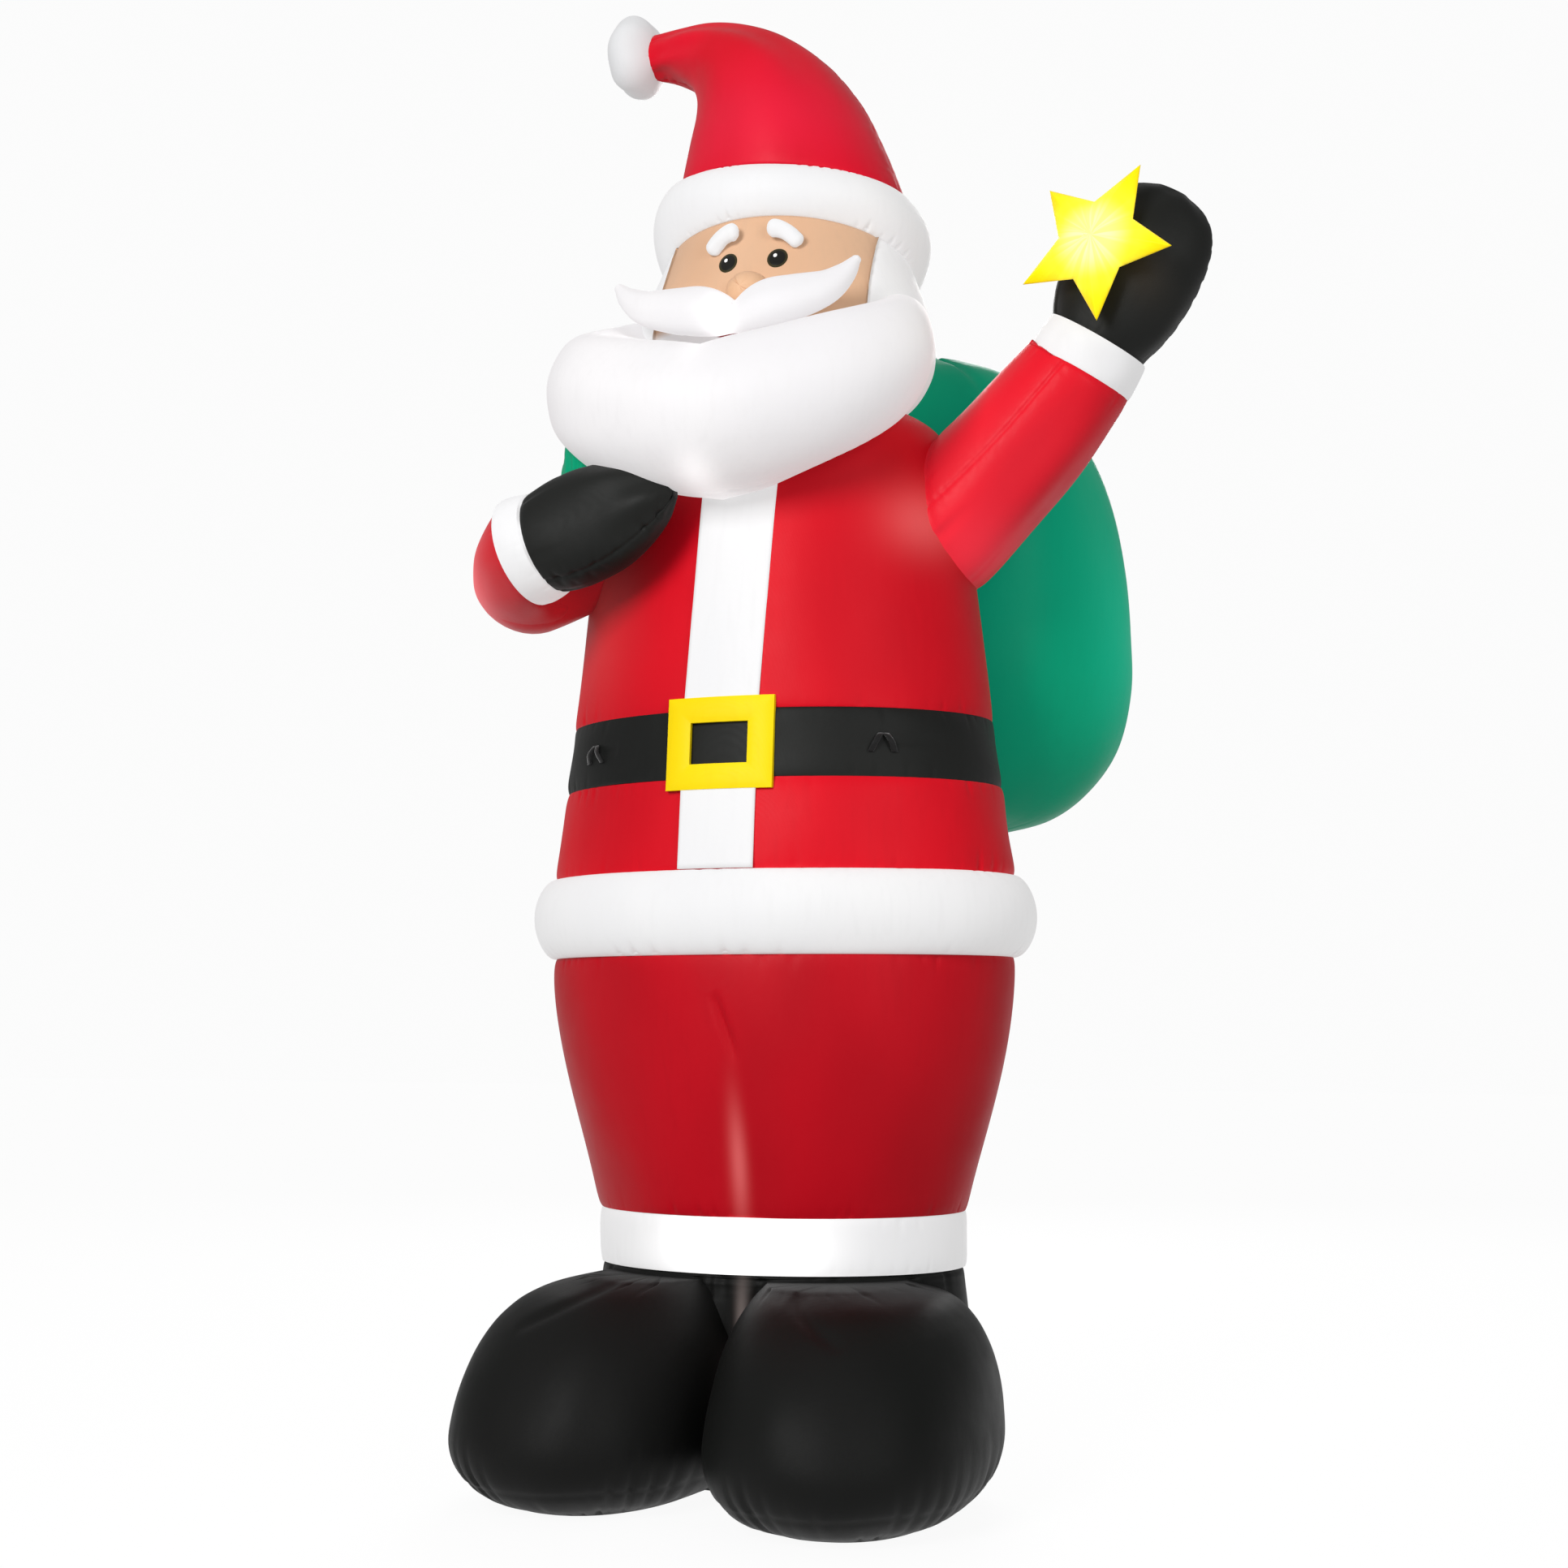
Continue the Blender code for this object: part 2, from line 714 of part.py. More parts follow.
def make_beard(home):
    """A fat cushion that wraps the chin from ear to ear and climbs towards the ears."""
    rows = (
        (0, 1.000, 0.000, 1.00, 1.00),
        (22, 1.020, 0.080, 1.02, 1.00),
        (44, 1.110, 0.230, 0.98, 0.93),
        (64, 1.110, 0.430, 0.88, 0.83),
        (82, 0.955, 0.660, 0.72, 0.68),
        (98, 0.880, 0.860, 0.52, 0.48),
    )
    half = smooth_wide([(math.radians(row[0]), *row[1:]) for row in rows], 8)
    around = [(-p[0], *p[1:]) for p in half[:0:-1]] + half
    middle = EYE_LEVEL - BEARD_BELOW_EYE
    arcs = []
    for angle, reach, rise, high, deep in around:
        out = Vector((math.sin(angle), -math.cos(angle), 0))
        centre = Vector((0, BEARD_AXIS, middle + BEARD_RISE * rise)) + out * BEARD_REACH * reach
        arcs.append((centre, Vector((0, 0, 1)), out, BEARD_RADIUS * high, BEARD_RADIUS * deep))
    for i, arc in enumerate(arcs):
        ahead = arcs[min(i + 1, len(arcs) - 1)][0] - arcs[max(i - 1, 0)][0]
        arcs[i] = (*arc, ahead.normalized())
    arcs = dome(arcs, (True, True), steps=3)
    return loft(
        "beard",
        [section(c, up * h, out * w, 18) for c, up, out, h, w, _ in arcs],
        "white_fabric",
        home,
    )


def make_moustache(home):
    """A handlebar moustache whose tips stand clear of the cheeks and whose foot leans forward."""
    outline = (
        (0.00, 0.00, 0.62),
        (0.15, 0.13, 0.84),
        (0.30, 0.25, 0.94),
        (0.49, 0.34, 0.88),
        (0.74, 0.52, 0.68),
        (0.90, 0.80, 0.44),
        (1.00, 1.10, 0.18),
    )
    middle = EYE_LEVEL - MOUSTACHE_BELOW_EYE
    half = smooth(outline, 7)
    rows = []
    for side, points in ((-1, half[:0:-1]), (1, half)):
        for p in points:
            full = MOUSTACHE_HALF_HEIGHT * p.z
            x = side * MOUSTACHE_HALF_SPAN * p.x + MOUSTACHE_LEFT * (1 - p.x**2)
            y = -MOUSTACHE_FORWARD + MOUSTACHE_SWEEP * p.x**2
            rows.append((x, y, middle + MOUSTACHE_RISE * p.y, full, full * 0.8))
    return tube(
        "moustache", rows, "white_fabric", home, SMALL_SIDES, flat=(0, 0.78, -0.62), rounded=(True, True)
    )


# Hat
def make_trim(home):
    """The hat's inflated white band: thinner over the forehead than at the sides."""
    count = 6
    sections = []
    for i in range(count + 1):
        t = i / count
        z = TRIM_LOW + SEAM_GAP / 2 + (TRIM_HEIGHT - SEAM_GAP) * t
        bulge = TRIM_BULGE * math.sin(math.pi * t) ** 0.6
        wide = HEAD_HALF_WIDTH * 0.93 * (1 - t) + HAT_BASE_HALF_WIDTH * t
        wide += bulge + TRIM_SIDE_BULGE * math.sin(math.pi * t)
        deep = HEAD_HALF_DEPTH * 0.95 * (1 - t) + HAT_BASE_HALF_WIDTH * 0.93 * t + bulge
        sections.append(head_section(z, wide, deep, BROW_LINE_SLOPE * (1 - t), HAT_ROLL_SLOPE * t))
    return loft("hat_trim", sections, "white_fabric", home)


def hat_rows():
    """The hat's two side lines, as pairs of x and height that face each other across it.

    It rises, bends over to the figure's right and narrows. The last number is the
    half thickness from front to back. All are in metres from the top of the trim.
    """
    return (
        (-0.286, 0.024, 0.300, -0.024, 0.279),
        (-0.260, 0.135, 0.272, 0.055, 0.268),
        (-0.242, 0.215, 0.240, 0.133, 0.250),
        (-0.242, 0.273, 0.189, 0.233, 0.228),
        (-0.262, 0.318, 0.107, 0.340, 0.195),
        (-0.294, 0.346, 0.015, 0.416, 0.163),
        (-0.325, 0.364, -0.085, 0.466, 0.130),
        (-0.352, 0.374, -0.188, 0.495, 0.100),
        (-0.371, 0.378, -0.287, 0.500, 0.074),
        (-0.384, 0.381, -0.372, 0.497, 0.058),
    )


def hat_scale():
    """The hat's size against its table of rows, across and upwards."""
    rows = hat_rows()
    return HAT_BASE_HALF_WIDTH / rows[0][2], HAT_RISE / max(row[3] for row in rows)


def make_hat(home):
    scale_x, scale_z = hat_scale()
    sections = []
    for row in smooth_wide(hat_rows(), 13):
        right = Vector((row[0] * scale_x, HEAD_BACK, TRIM_TOP + SEAM_GAP + row[1] * scale_z))
        left = Vector((row[2] * scale_x, HEAD_BACK, TRIM_TOP + SEAM_GAP + row[3] * scale_z))
        thick = (0, row[4] * scale_x, 0)
        sections.append(section((right + left) / 2, (left - right) / 2, thick, BIG_SIDES))
    return loft("hat", sections, "red_fabric", home)


def make_pompom(home):
    """A puffy flattened ball, gathered on the hat's tip."""
    tip = hat_rows()[-1]
    scale_x, scale_z = hat_scale()
    mesh = bpy.data.meshes.new("hat_pompom")
    bm = bmesh.new()
    bmesh.ops.create_uvsphere(bm, u_segments=18, v_segments=10, radius=1.0)
    bmesh.ops.scale(bm, vec=(POMPOM_THICKNESS / 2, POMPOM_RADIUS, POMPOM_RADIUS), verts=bm.verts)
    bm.to_mesh(mesh)
    bm.free()
    mesh.shade_smooth()
    height = TRIM_TOP + (tip[1] + tip[3]) / 2 * scale_z + POMPOM_RAISED
    middle = (tip[0] * scale_x - POMPOM_THICKNESS * 0.38, HEAD_BACK, height)
    return place("hat_pompom", mesh, "white_fabric", home, middle)


# Arms
def left_arm_line():
    """Points along the raised arm: shoulder, mid sleeve, cuff, and the way that the hand points."""
    shoulder = Vector((RAISED_SHOULDER_OUT, SHOULDER_BACK, CHEST_LOW + 0.500 * CHEST_HEIGHT))
    bend = Vector((RAISED_BEND_OUT, RAISED_BEND_BACK, CHEST_LOW + 0.642 * CHEST_HEIGHT))
    wrist = Vector((RAISED_WRIST_OUT, 0.0, CHEST_LOW + 1.028 * CHEST_HEIGHT))
    way = Vector((0.545, -0.03, 0.84)).normalized()
    return shoulder, bend, wrist, way


def make_left_arm(home):
    """The raised arm: a curved tapering sleeve, a white cuff and a rounded mitten."""
    shoulder, bend, wrist, way = left_arm_line()
    radius = ARM_CUFF_RADIUS
    middle = bend.lerp(wrist, 0.48) - Vector((0, 0, RAISED_SAG))
    keys = (
        (*shoulder, SLEEVE_ROOT_HALF_WIDTH, SLEEVE_ROOT_HALF_THICKNESS),
        (*bend, SLEEVE_ROOT_HALF_WIDTH * 0.90, SLEEVE_ROOT_HALF_THICKNESS * 1.10),
        (*middle, SLEEVE_ROOT_HALF_WIDTH * 0.83, SLEEVE_ROOT_HALF_THICKNESS * 1.03),
        (*wrist, radius, radius),
    )
    sleeve = tube("left_sleeve", smooth_wide(keys, 8), "red_fabric", home, last=way)
    start = wrist + way * SEAM_GAP
    end = wrist + way * ARM_CUFF_WIDTH
    cuff_rows = [(*start, radius, radius), (*end, radius * 0.97, radius * 0.97)]
    cuff = tube("left_cuff", cuff_rows, "white_fabric", home)
    base = end + way * SEAM_GAP
    outline = (
        (0.00, 0.76, 1.00),
        (0.20, 0.93, 1.00),
        (0.45, 1.00, 1.00),
        (0.68, 0.95, 0.90),
        (0.84, 0.80, 0.70),
        (0.94, 0.56, 0.48),
        (1.00, 0.22, 0.20),
    )
    hand = Vector(HAND_WAY).normalized()
    mitten_rows = [
        (*(base + hand * MITTEN_LENGTH * t), MITTEN_HALF_WIDTH * w, MITTEN_HALF_THICKNESS * h)
        for t, w, h in outline
    ]
    mitten = tube("left_mitten", mitten_rows, "black_fabric", home, first=way)
    return sleeve, cuff, mitten


def right_arm_line():
    """The bent arm: shoulder, elbow and wrist, and the way that the hand points across the chest."""
    shoulder = Vector((-BENT_SHOULDER_OUT, SHOULDER_BACK, CHEST_LOW + 0.70 * CHEST_HEIGHT))
    elbow = Vector((-ELBOW_OUT, -ELBOW_AHEAD, CHEST_LOW + 0.465 * CHEST_HEIGHT))
    wrist = Vector((-BENT_WRIST_OUT, -BENT_WRIST_AHEAD, CHEST_LOW + 0.490 * CHEST_HEIGHT))
    way = Vector((0.955, -0.10, 0.27)).normalized()
    return shoulder, elbow, wrist, way


def make_right_arm(home, cutters):
    """The bent arm, whose mitten holds the sack's neck against the chest."""
    shoulder, elbow, wrist, way = right_arm_line()
    radius = BENT_SLEEVE_RADIUS
    shares = (0.0, 0.5, 1.0)
    widths = [radius * 1.12 - ARM_TAPER * t for t in shares]
    upper_rows = [(*shoulder.lerp(elbow, t), width, width) for t, width in zip(shares, widths)]
    sleeve = tube("right_sleeve", upper_rows, "red_fabric", home, rounded=(False, True))
    fore_end = wrist + way * FOREARM_OVERLAP
    shares = (0.05, 0.5, 1.0)
    widths = [radius - ARM_TAPER * t for t in shares]
    fore_rows = [(*elbow.lerp(fore_end, t), width, width) for t, width in zip(shares, widths)]
    forearm = tube("forearm", fore_rows, "red_fabric", home, rounded=(True, True))
    boolean(sleeve, cutter(forearm, cutters), "UNION")
    settled(sleeve)
    base = wrist + way * BENT_CUFF_START
    beyond = [(*(base + way * radius * t), radius * 1.2, radius * 1.2) for t in (0.0, 3.5)]
    wrist_line = tube("wrist_line", beyond, "red_fabric", home)
    boolean(sleeve, cutter(wrist_line, cutters), "DIFFERENCE")
    settled(sleeve)
    base += way * SEAM_GAP
    end = base + way * ARM_CUFF_WIDTH * 0.75
    size = ARM_CUFF_RADIUS
    cuff_rows = [(*base, size, size), (*end, size * 0.95, size * 0.93)]
    cuff = tube("right_cuff", cuff_rows, "white_fabric", home)
    palm = end + way * SEAM_GAP
    outline = (
        (0.00, 0.90, 1.20),
        (0.22, 0.97, 1.12),
        (0.48, 0.91, 1.00),
        (0.70, 0.73, 0.85),
        (0.88, 0.48, 0.60),
        (1.00, 0.18, 0.22),
    )
    wide, thick = HOLDING_MITTEN_HALF_WIDTH, HOLDING_MITTEN_HALF_THICKNESS
    rows = [(*(palm + way * HOLDING_MITTEN_LENGTH * t), wide * w, thick * h) for t, w, h in outline]
    mitten = tube("right_mitten", rows, "black_fabric", home)
    return sleeve, cuff, mitten


def make_star(home):
    """A puffy five-pointed star held against the raised mitten's palm."""
    _, _, wrist, way = left_arm_line()
    centre = wrist + way * (ARM_CUFF_WIDTH + MITTEN_LENGTH * 0.40)
    centre += Vector((-STAR_RIGHT, -MITTEN_HALF_THICKNESS - STAR_THICKNESS * 0.36, STAR_RAISED))
    mesh = bpy.data.meshes.new("star")
    bm = bmesh.new()
    rims = []
    for y in (-STAR_EDGE / 2, STAR_EDGE / 2):
        rim = []
        for i in range(10):
            radius = STAR_RADIUS * (STAR_INNER_SHARE if i % 2 else 1.0)
            angle = math.pi * i / 5 + STAR_LEAN
            rim.append(bm.verts.new((radius * math.sin(angle), y, radius * math.cos(angle))))
        rims.append(rim)
    front = bm.verts.new((0, -STAR_THICKNESS / 2, 0))
    back = bm.verts.new((0, STAR_THICKNESS / 2, 0))
    for i in range(10):
        j = (i + 1) % 10
        bm.faces.new((rims[0][i], rims[0][j], rims[1][j], rims[1][i]))
        bm.faces.new((front, rims[0][i], rims[0][j]))
        bm.faces.new((back, rims[1][j], rims[1][i]))
    bmesh.ops.recalc_face_normals(bm, faces=bm.faces)
    bm.to_mesh(mesh)
    bm.free()
    star = place("star", mesh, "yellow_fabric", home, centre)
    star.rotation_euler = Matrix.Rotation(STAR_TURN, 3, Vector(HAND_WAY)).to_euler()
    return star


# Sack
def sack_foot():
    """The middle of the sack's underside, from where the sack lies against the back."""
    back = BELT_TOP_HALF_WIDTH * BODY_FLATNESS
    return Vector((SACK_LEFT, back + SACK_HALF_DEPTH - SACK_PRESSED, CHEST_LOW - SACK_HANG))


def sack_lean(share):
    """Where the sack's middle line is at a share of its height, from its foot."""
    return Vector((-SACK_LEAN_RIGHT * share, -SACK_LEAN_AHEAD * share**2, SACK_HEIGHT * share))


def make_sack(home):
    """A full pear-shaped sack that hangs on the back, narrow at the top."""
    outline = (
        (0.000, 0.20),
        (0.030, 0.50),
        (0.090, 0.72),
        (0.180, 0.89),
        (0.300, 0.98),
        (0.420, 1.00),
        (0.550, 1.00),
        (0.680, 0.965),
        (0.790, 0.885),
        (0.880, 0.75),
        (0.950, 0.55),
        (1.000, 0.25),
    )
    sections = []
    for t, w in outline:
        across, along = (SACK_HALF_WIDTH * w, 0, 0), (0, SACK_HALF_DEPTH * w, 0)
        sections.append(section(sack_foot() + sack_lean(t), across, along, BIG_SIDES))
    return loft("sack", sections, "green_fabric", home)


def make_sack_neck(home):
    """The sack's gathered neck, drawn over the right shoulder to the hand."""
    top = sack_foot() + sack_lean(1.0)
    _, _, wrist, way = right_arm_line()
    grip = wrist + way * (ARM_CUFF_WIDTH + HOLDING_MITTEN_LENGTH * 0.22)
    keys = (
        (top.x - 0.05, top.y - 0.02, top.z - 0.16, 0.17),
        (-0.16, 0.36, NECK + 0.060, 0.125),
        (-0.353, 0.08, NECK + 0.035, SACK_NECK_RADIUS * 1.08),
        (-0.373, -0.240, NECK - 0.105, SACK_NECK_RADIUS),
        (grip.x, grip.y + 0.06, grip.z + 0.05, SACK_NECK_RADIUS * 0.8),
    )
    rows = [(*p.xyz, p.w, p.w) for p in smooth(keys, 8)]
    return tube("sack_neck", rows, "green_fabric", home, 12, flat=(0.3, 0.2, 1))


def main():
    clear_scene()
    home = collection("inflatable_santa")
    cutters = collection("cutters")
    ground_point = bpy.data.objects.new("ground_point", None)
    shaft = make_boot_shaft(home)
    boots = [make_boot(name, side, home) for name, side in (("right_boot", -1), ("left_boot", 1))]
    for boot, side in zip(boots, (-1, 1)):
        part_boots(boot, side, home, cutters)
        fit_against(boot, cutters, shaft)
    body = make_body(home)
    form = make_body_form(cutters)
    chest, belt, skirt = body["coat_chest"], body["belt"], body["coat_skirt"]
    low, high = SKIRT_LOW + BAND_ABOVE_HEM, BELT_LOW - SEAM_GAP
    make_front_band("front_band_low", low, high, 0, form, home, cutters)
    low, high = CHEST_LOW + SEAM_GAP, NECK - BAND_BELOW_NECK
    make_front_band("front_band", low, high, BAND_TOP_LEFT, form, home, cutters)
    make_buckle(form, home, cutters)
    for name, side in (("right_tether_tab", -1), ("left_tether_tab", 1)):
        make_tether_tab(name, side, form, home, cutters)

    head = cutter(make_head(home), cutters)
    head.name = "head_form"
    hair = fit_against(make_head(home), cutters, chest)
    make_face(hair, home, cutters)
    trim = make_trim(home)
    hat = make_hat(home)
    fit_against(make_pompom(home), cutters, hat)
    for name, side in (("right_eye", -1), ("left_eye", 1)):
        make_eye(name, side, head, home, cutters)
    for name, side in (("right_eyebrow", -1), ("left_eyebrow", 1)):
        fit_against(make_eyebrow(name, side, home), cutters, head, trim)
    nose = fit_against(make_nose(home), cutters, head)
    clear_of_band = BAND_THICKNESS + 2 * SEAM_GAP
    beard = fit_against(make_beard(home), cutters, head)
    fit_against(beard, cutters, form, by=clear_of_band)
    fit_against(make_moustache(home), cutters, head, nose, beard)

    left = make_left_arm(home)
    fit_against(left[0], cutters, chest)
    fit_against(make_star(home), cutters, left[2], left[1])
    right = make_right_arm(home, cutters)
    for piece in right:
        fit_against(piece, cutters, beard)
    fit_against(right[0], cutters, chest)
    for piece in right[1:]:
        fit_against(piece, cutters, form, by=clear_of_band)
    sack = fit_against(make_sack(home), cutters, chest, belt, skirt, head, left[0])
    neck = fit_against(make_sack_neck(home), cutters, sack, chest, head, *right)
    fit_against(neck, cutters, beard, by=BEARD_ON_SACK)

    pieces = list(home.objects)
    home.objects.link(ground_point)
    for piece in pieces:
        piece.parent = ground_point


main()
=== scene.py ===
"""The looks of the giant inflatable Santa: sewn, air-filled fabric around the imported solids.

Units are metres, +Z is up and the figure faces -Y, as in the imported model.
Each chamber is a fine grid of rings, with puckers along its seams, and its own fabric.
"""

from math import acos, cos, pi, radians, sin, sqrt

import bpy
import numpy as np
from mathutils import Matrix, Vector
from mathutils.bvhtree import BVHTree


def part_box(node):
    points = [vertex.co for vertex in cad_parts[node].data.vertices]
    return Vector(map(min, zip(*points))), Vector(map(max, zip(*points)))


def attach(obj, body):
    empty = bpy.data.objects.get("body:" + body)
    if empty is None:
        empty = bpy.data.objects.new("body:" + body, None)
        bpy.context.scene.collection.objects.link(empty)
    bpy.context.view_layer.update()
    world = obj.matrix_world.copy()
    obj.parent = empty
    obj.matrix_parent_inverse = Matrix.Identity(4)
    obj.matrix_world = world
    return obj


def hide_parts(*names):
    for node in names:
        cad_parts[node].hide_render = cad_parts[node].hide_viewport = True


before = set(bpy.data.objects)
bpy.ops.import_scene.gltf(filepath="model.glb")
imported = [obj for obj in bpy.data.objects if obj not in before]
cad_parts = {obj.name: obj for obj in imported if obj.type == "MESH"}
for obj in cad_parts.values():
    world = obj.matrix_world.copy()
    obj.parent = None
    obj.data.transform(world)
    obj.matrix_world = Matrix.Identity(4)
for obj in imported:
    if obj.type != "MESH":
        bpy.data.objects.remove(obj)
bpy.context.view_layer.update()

# The camera, from the photograph's perspective
PHOTO_SIDE = 1932
FOCAL_PIXELS = 2870
CAMERA_AT = (2.063, -5.375, 1.092)
CAMERA_TURN = radians(20.94)
CAMERA_TILT = radians(5.75)


def low(name):
    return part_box(name)[0]


def high(name):
    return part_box(name)[1]


# Heights of the sewn bands
CUFF_LOW = low("trouser_cuff").z
TROUSER_LOW = low("trousers").z
HEM_LOW = low("coat_hem").z
SKIRT_LOW = low("coat_skirt").z
BELT_LOW = low("belt").z
CHEST_LOW = low("coat_chest").z
NECK = high("coat_chest").z
CHEST_HEIGHT = NECK - CHEST_LOW
HEAD_LOW = NECK - 0.05
TRIM_LOW = HEAD_LOW + 0.41
TRIM_TOP = TRIM_LOW + 0.212
EYE_LEVEL = TRIM_LOW - 0.05

# Half widths of the body
SHAFT_HALF = 0.448
CUFF_HALF = high("trouser_cuff").x
HIP_HALF = high("coat_skirt").x
BELT_HALF = high("belt").x
CHEST_HALF = high("coat_chest").x
HEM_BULGE = high("coat_hem").x - HIP_HALF
FLATNESS = 0.74

# Head
HEAD_BACK = 0.065
HEAD_HALF_WIDTH = 0.345
HEAD_HALF_DEPTH = 0.3
HEAD_LEAN = 0.11
BROW_LINE_SLOPE = 0.26
FACE_HALF_WIDTH = 0.268
FACE_LEFT = 0.024

# Points in a ring around a big chamber, and around an arm or a piece of the head
BIG = 480
MIDDLE = 216

# Each look is a material and the slot it fills
LOOKS = {}

# Strips and buckle on the front
STRIP_HALF_WIDTH = 0.092
STRIP_TOP_LEFT = 0.036
STRIP_PROUD = 0.0085
STRIP_THICK = 0.0075
STRIP_STEP = 0.012
BUCKLE_FRAME = 0.06
BUCKLE_THICK = 0.011

# Curves and rings
def smooth(rows, count):
    """Rows of numbers resampled along a Catmull-Rom curve through them."""
    rows = np.array(rows, float)
    ends = np.vstack([rows[0] * 2 - rows[1], rows, rows[-1] * 2 - rows[-2]])
    at = np.linspace(0, len(rows) - 1, count)
    k = np.minimum(at.astype(int), len(rows) - 2)
    t = (at - k)[:, None]
    a, b, c, d = ends[k], ends[k + 1], ends[k + 2], ends[k + 3]
    cubic = (3 * b - a - 3 * c + d) * t**3
    return 0.5 * (2 * b + (c - a) * t + (2 * a - 5 * b + 4 * c - d) * t**2 + cubic)


def spread(count, ends=2.2):
    """Shares from 0 to 1 that lie closer together near both ends, where the seams pucker."""
    t = np.linspace(-1, 1, count)
    return 0.5 + 0.5 * np.sign(t) * (1 - (1 - np.abs(t)) ** ends)


def turns(sides):
    return np.linspace(0, 2 * pi, sides, endpoint=False)


def ring(centre, across, along, angles, power=2.0):
    c, s = np.cos(angles), np.sin(angles)
    u = np.sign(c) * np.abs(c) ** (2 / power)
    v = np.sign(s) * np.abs(s) ** (2 / power)
    centre, across, along = (np.array(p, float) for p in (centre, across, along))
    return centre + u[:, None] * across + v[:, None] * along


def vec(*parts):
    return np.array(parts)


def unit(v):
    v = np.array(v, float)
    return v / np.linalg.norm(v)


def tube(rows, sides, flat=(0, 1, 0), rounded=(False, False), first=None, last=None):
    """Rings along a tapering tube: each row is x, y, z, half width, half thickness along flat."""
    rows = np.array(rows, float)
    centres = rows[:, :3]
    ahead = np.gradient(centres, axis=0)
    if first is not None:
        ahead[0] = first
    if last is not None:
        ahead[-1] = last
    ahead /= np.linalg.norm(ahead, axis=1)[:, None]
    stations = []
    for centre, way, row in zip(centres, ahead, rows):
        side = unit(np.cross(flat, way))
        lift = unit(np.cross(way, side))
        stations.append((centre, side * row[3], lift * row[4], way, min(row[3], row[4])))
    stations = domed(stations, rounded)
    return np.array([ring(c, w, h, turns(sides)) for c, w, h, _, _ in stations])


def domed(stations, rounded, steps=12):
    """Adds rounded ends, as deep as the smaller half size there."""
    made = list(stations)
    for at_end, wanted in enumerate(rounded):
        if not wanted:
            continue
        centre, across, along, way, deep = made[-1] if at_end else made[0]
        way = way if at_end else -way
        caps = []
        for k in range(1, steps + 1):
            angle = radians(89) * k / steps
            share = cos(angle)
            caps.append((centre + way * deep * sin(angle), across * share, along * share, way, deep))
        made = made + caps if at_end else caps[::-1] + made
    return made


# Relief on a grid of rings
def normals(grid):
    across = np.roll(grid, -1, 1) - np.roll(grid, 1, 1)
    along = np.gradient(grid, axis=0)
    made = np.cross(across, along)
    made /= np.linalg.norm(made, axis=2)[..., None] + 1e-12
    outward = grid - grid.mean(axis=1)[:, None]
    middle = len(grid) // 2
    if (made[middle] * outward[middle]).sum() < 0:
        made = -made
    return made


def raised(grid, depth):
    return grid + normals(grid) * depth[..., None]


def from_first(grid):
    """Distance along the fabric from the first ring."""
    steps = np.linalg.norm(np.diff(grid, axis=0), axis=2)
    return np.vstack([np.zeros(grid.shape[1]), np.cumsum(steps, axis=0)])


def from_last(grid):
    made = from_first(grid)
    return made[-1] - made


def girth(grid):
    middle = grid[len(grid) // 2]
    return np.linalg.norm(np.roll(middle, -1, 0) - middle, axis=1).sum()


def waves(angles, counts, seed):
    """A closed random line: as many cosines as counts, with unit spread."""
    rng = np.random.default_rng(seed)
    sizes = rng.uniform(0.4, 1.0, len(counts))
    phases = rng.uniform(0, 2 * pi, len(counts))
    made = sum(a * np.cos(k * angles + p) for a, k, p in zip(sizes, counts, phases))
    return made / np.sqrt((sizes**2).sum() / 2)


def puckers(grid, distance, seed, size, wavelength=(0.022, 0.09), reach=0.55):
    """Creases that start at a seam: the short waves die away first, and the long ones reach further."""
    rng = np.random.default_rng(seed)
    around = girth(grid)
    angles = turns(grid.shape[1])
    most = min(around / wavelength[0], grid.shape[1] / 5)
    counts = np.unique(np.linspace(max(around / wavelength[1], 3), most, 34).astype(int))
    made = np.zeros(distance.shape)
    total = 0.0
    for k in counts:
        share = rng.uniform(0.3, 1.0)
        total += share**2 / 2
        made += share * np.cos(k * angles + rng.uniform(0, 6.28)) * np.exp(-distance * k / (around * reach))
    patchy = np.clip(0.55 + 0.45 * waves(angles, range(2, 14), seed + 1), 0.12, 1.5)
    creases = np.clip(made / sqrt(total) - 0.25, 0, 2.2)
    at_seam = 1 - 0.8 * np.exp(-((distance / 0.006) ** 2))
    return -size * creases * patchy * at_seam


def tucked(distance, depth=0.004, reach=0.012):
    """The fabric turns in along its seam."""
    return -depth * np.exp(-distance / reach)


def billows(grid, seed, size, around=(2, 9), along=3):
    """Soft uneven swelling of an air-filled chamber."""
    rng = np.random.default_rng(seed)
    angles = turns(grid.shape[1])
    share = np.linspace(0, 1, len(grid))[:, None]
    made = np.zeros(grid.shape[:2])
    for k in range(around[0], around[1]):
        for j in range(along + 1):
            size_here = rng.uniform(0.2, 1.0) / (1 + 0.3 * k)
            phase, other = rng.uniform(0, 6.28, 2)
            made += size_here * np.cos(k * angles + phase) * np.cos(j * pi * share + other)
    return size * made * np.sin(pi * share) ** 0.5


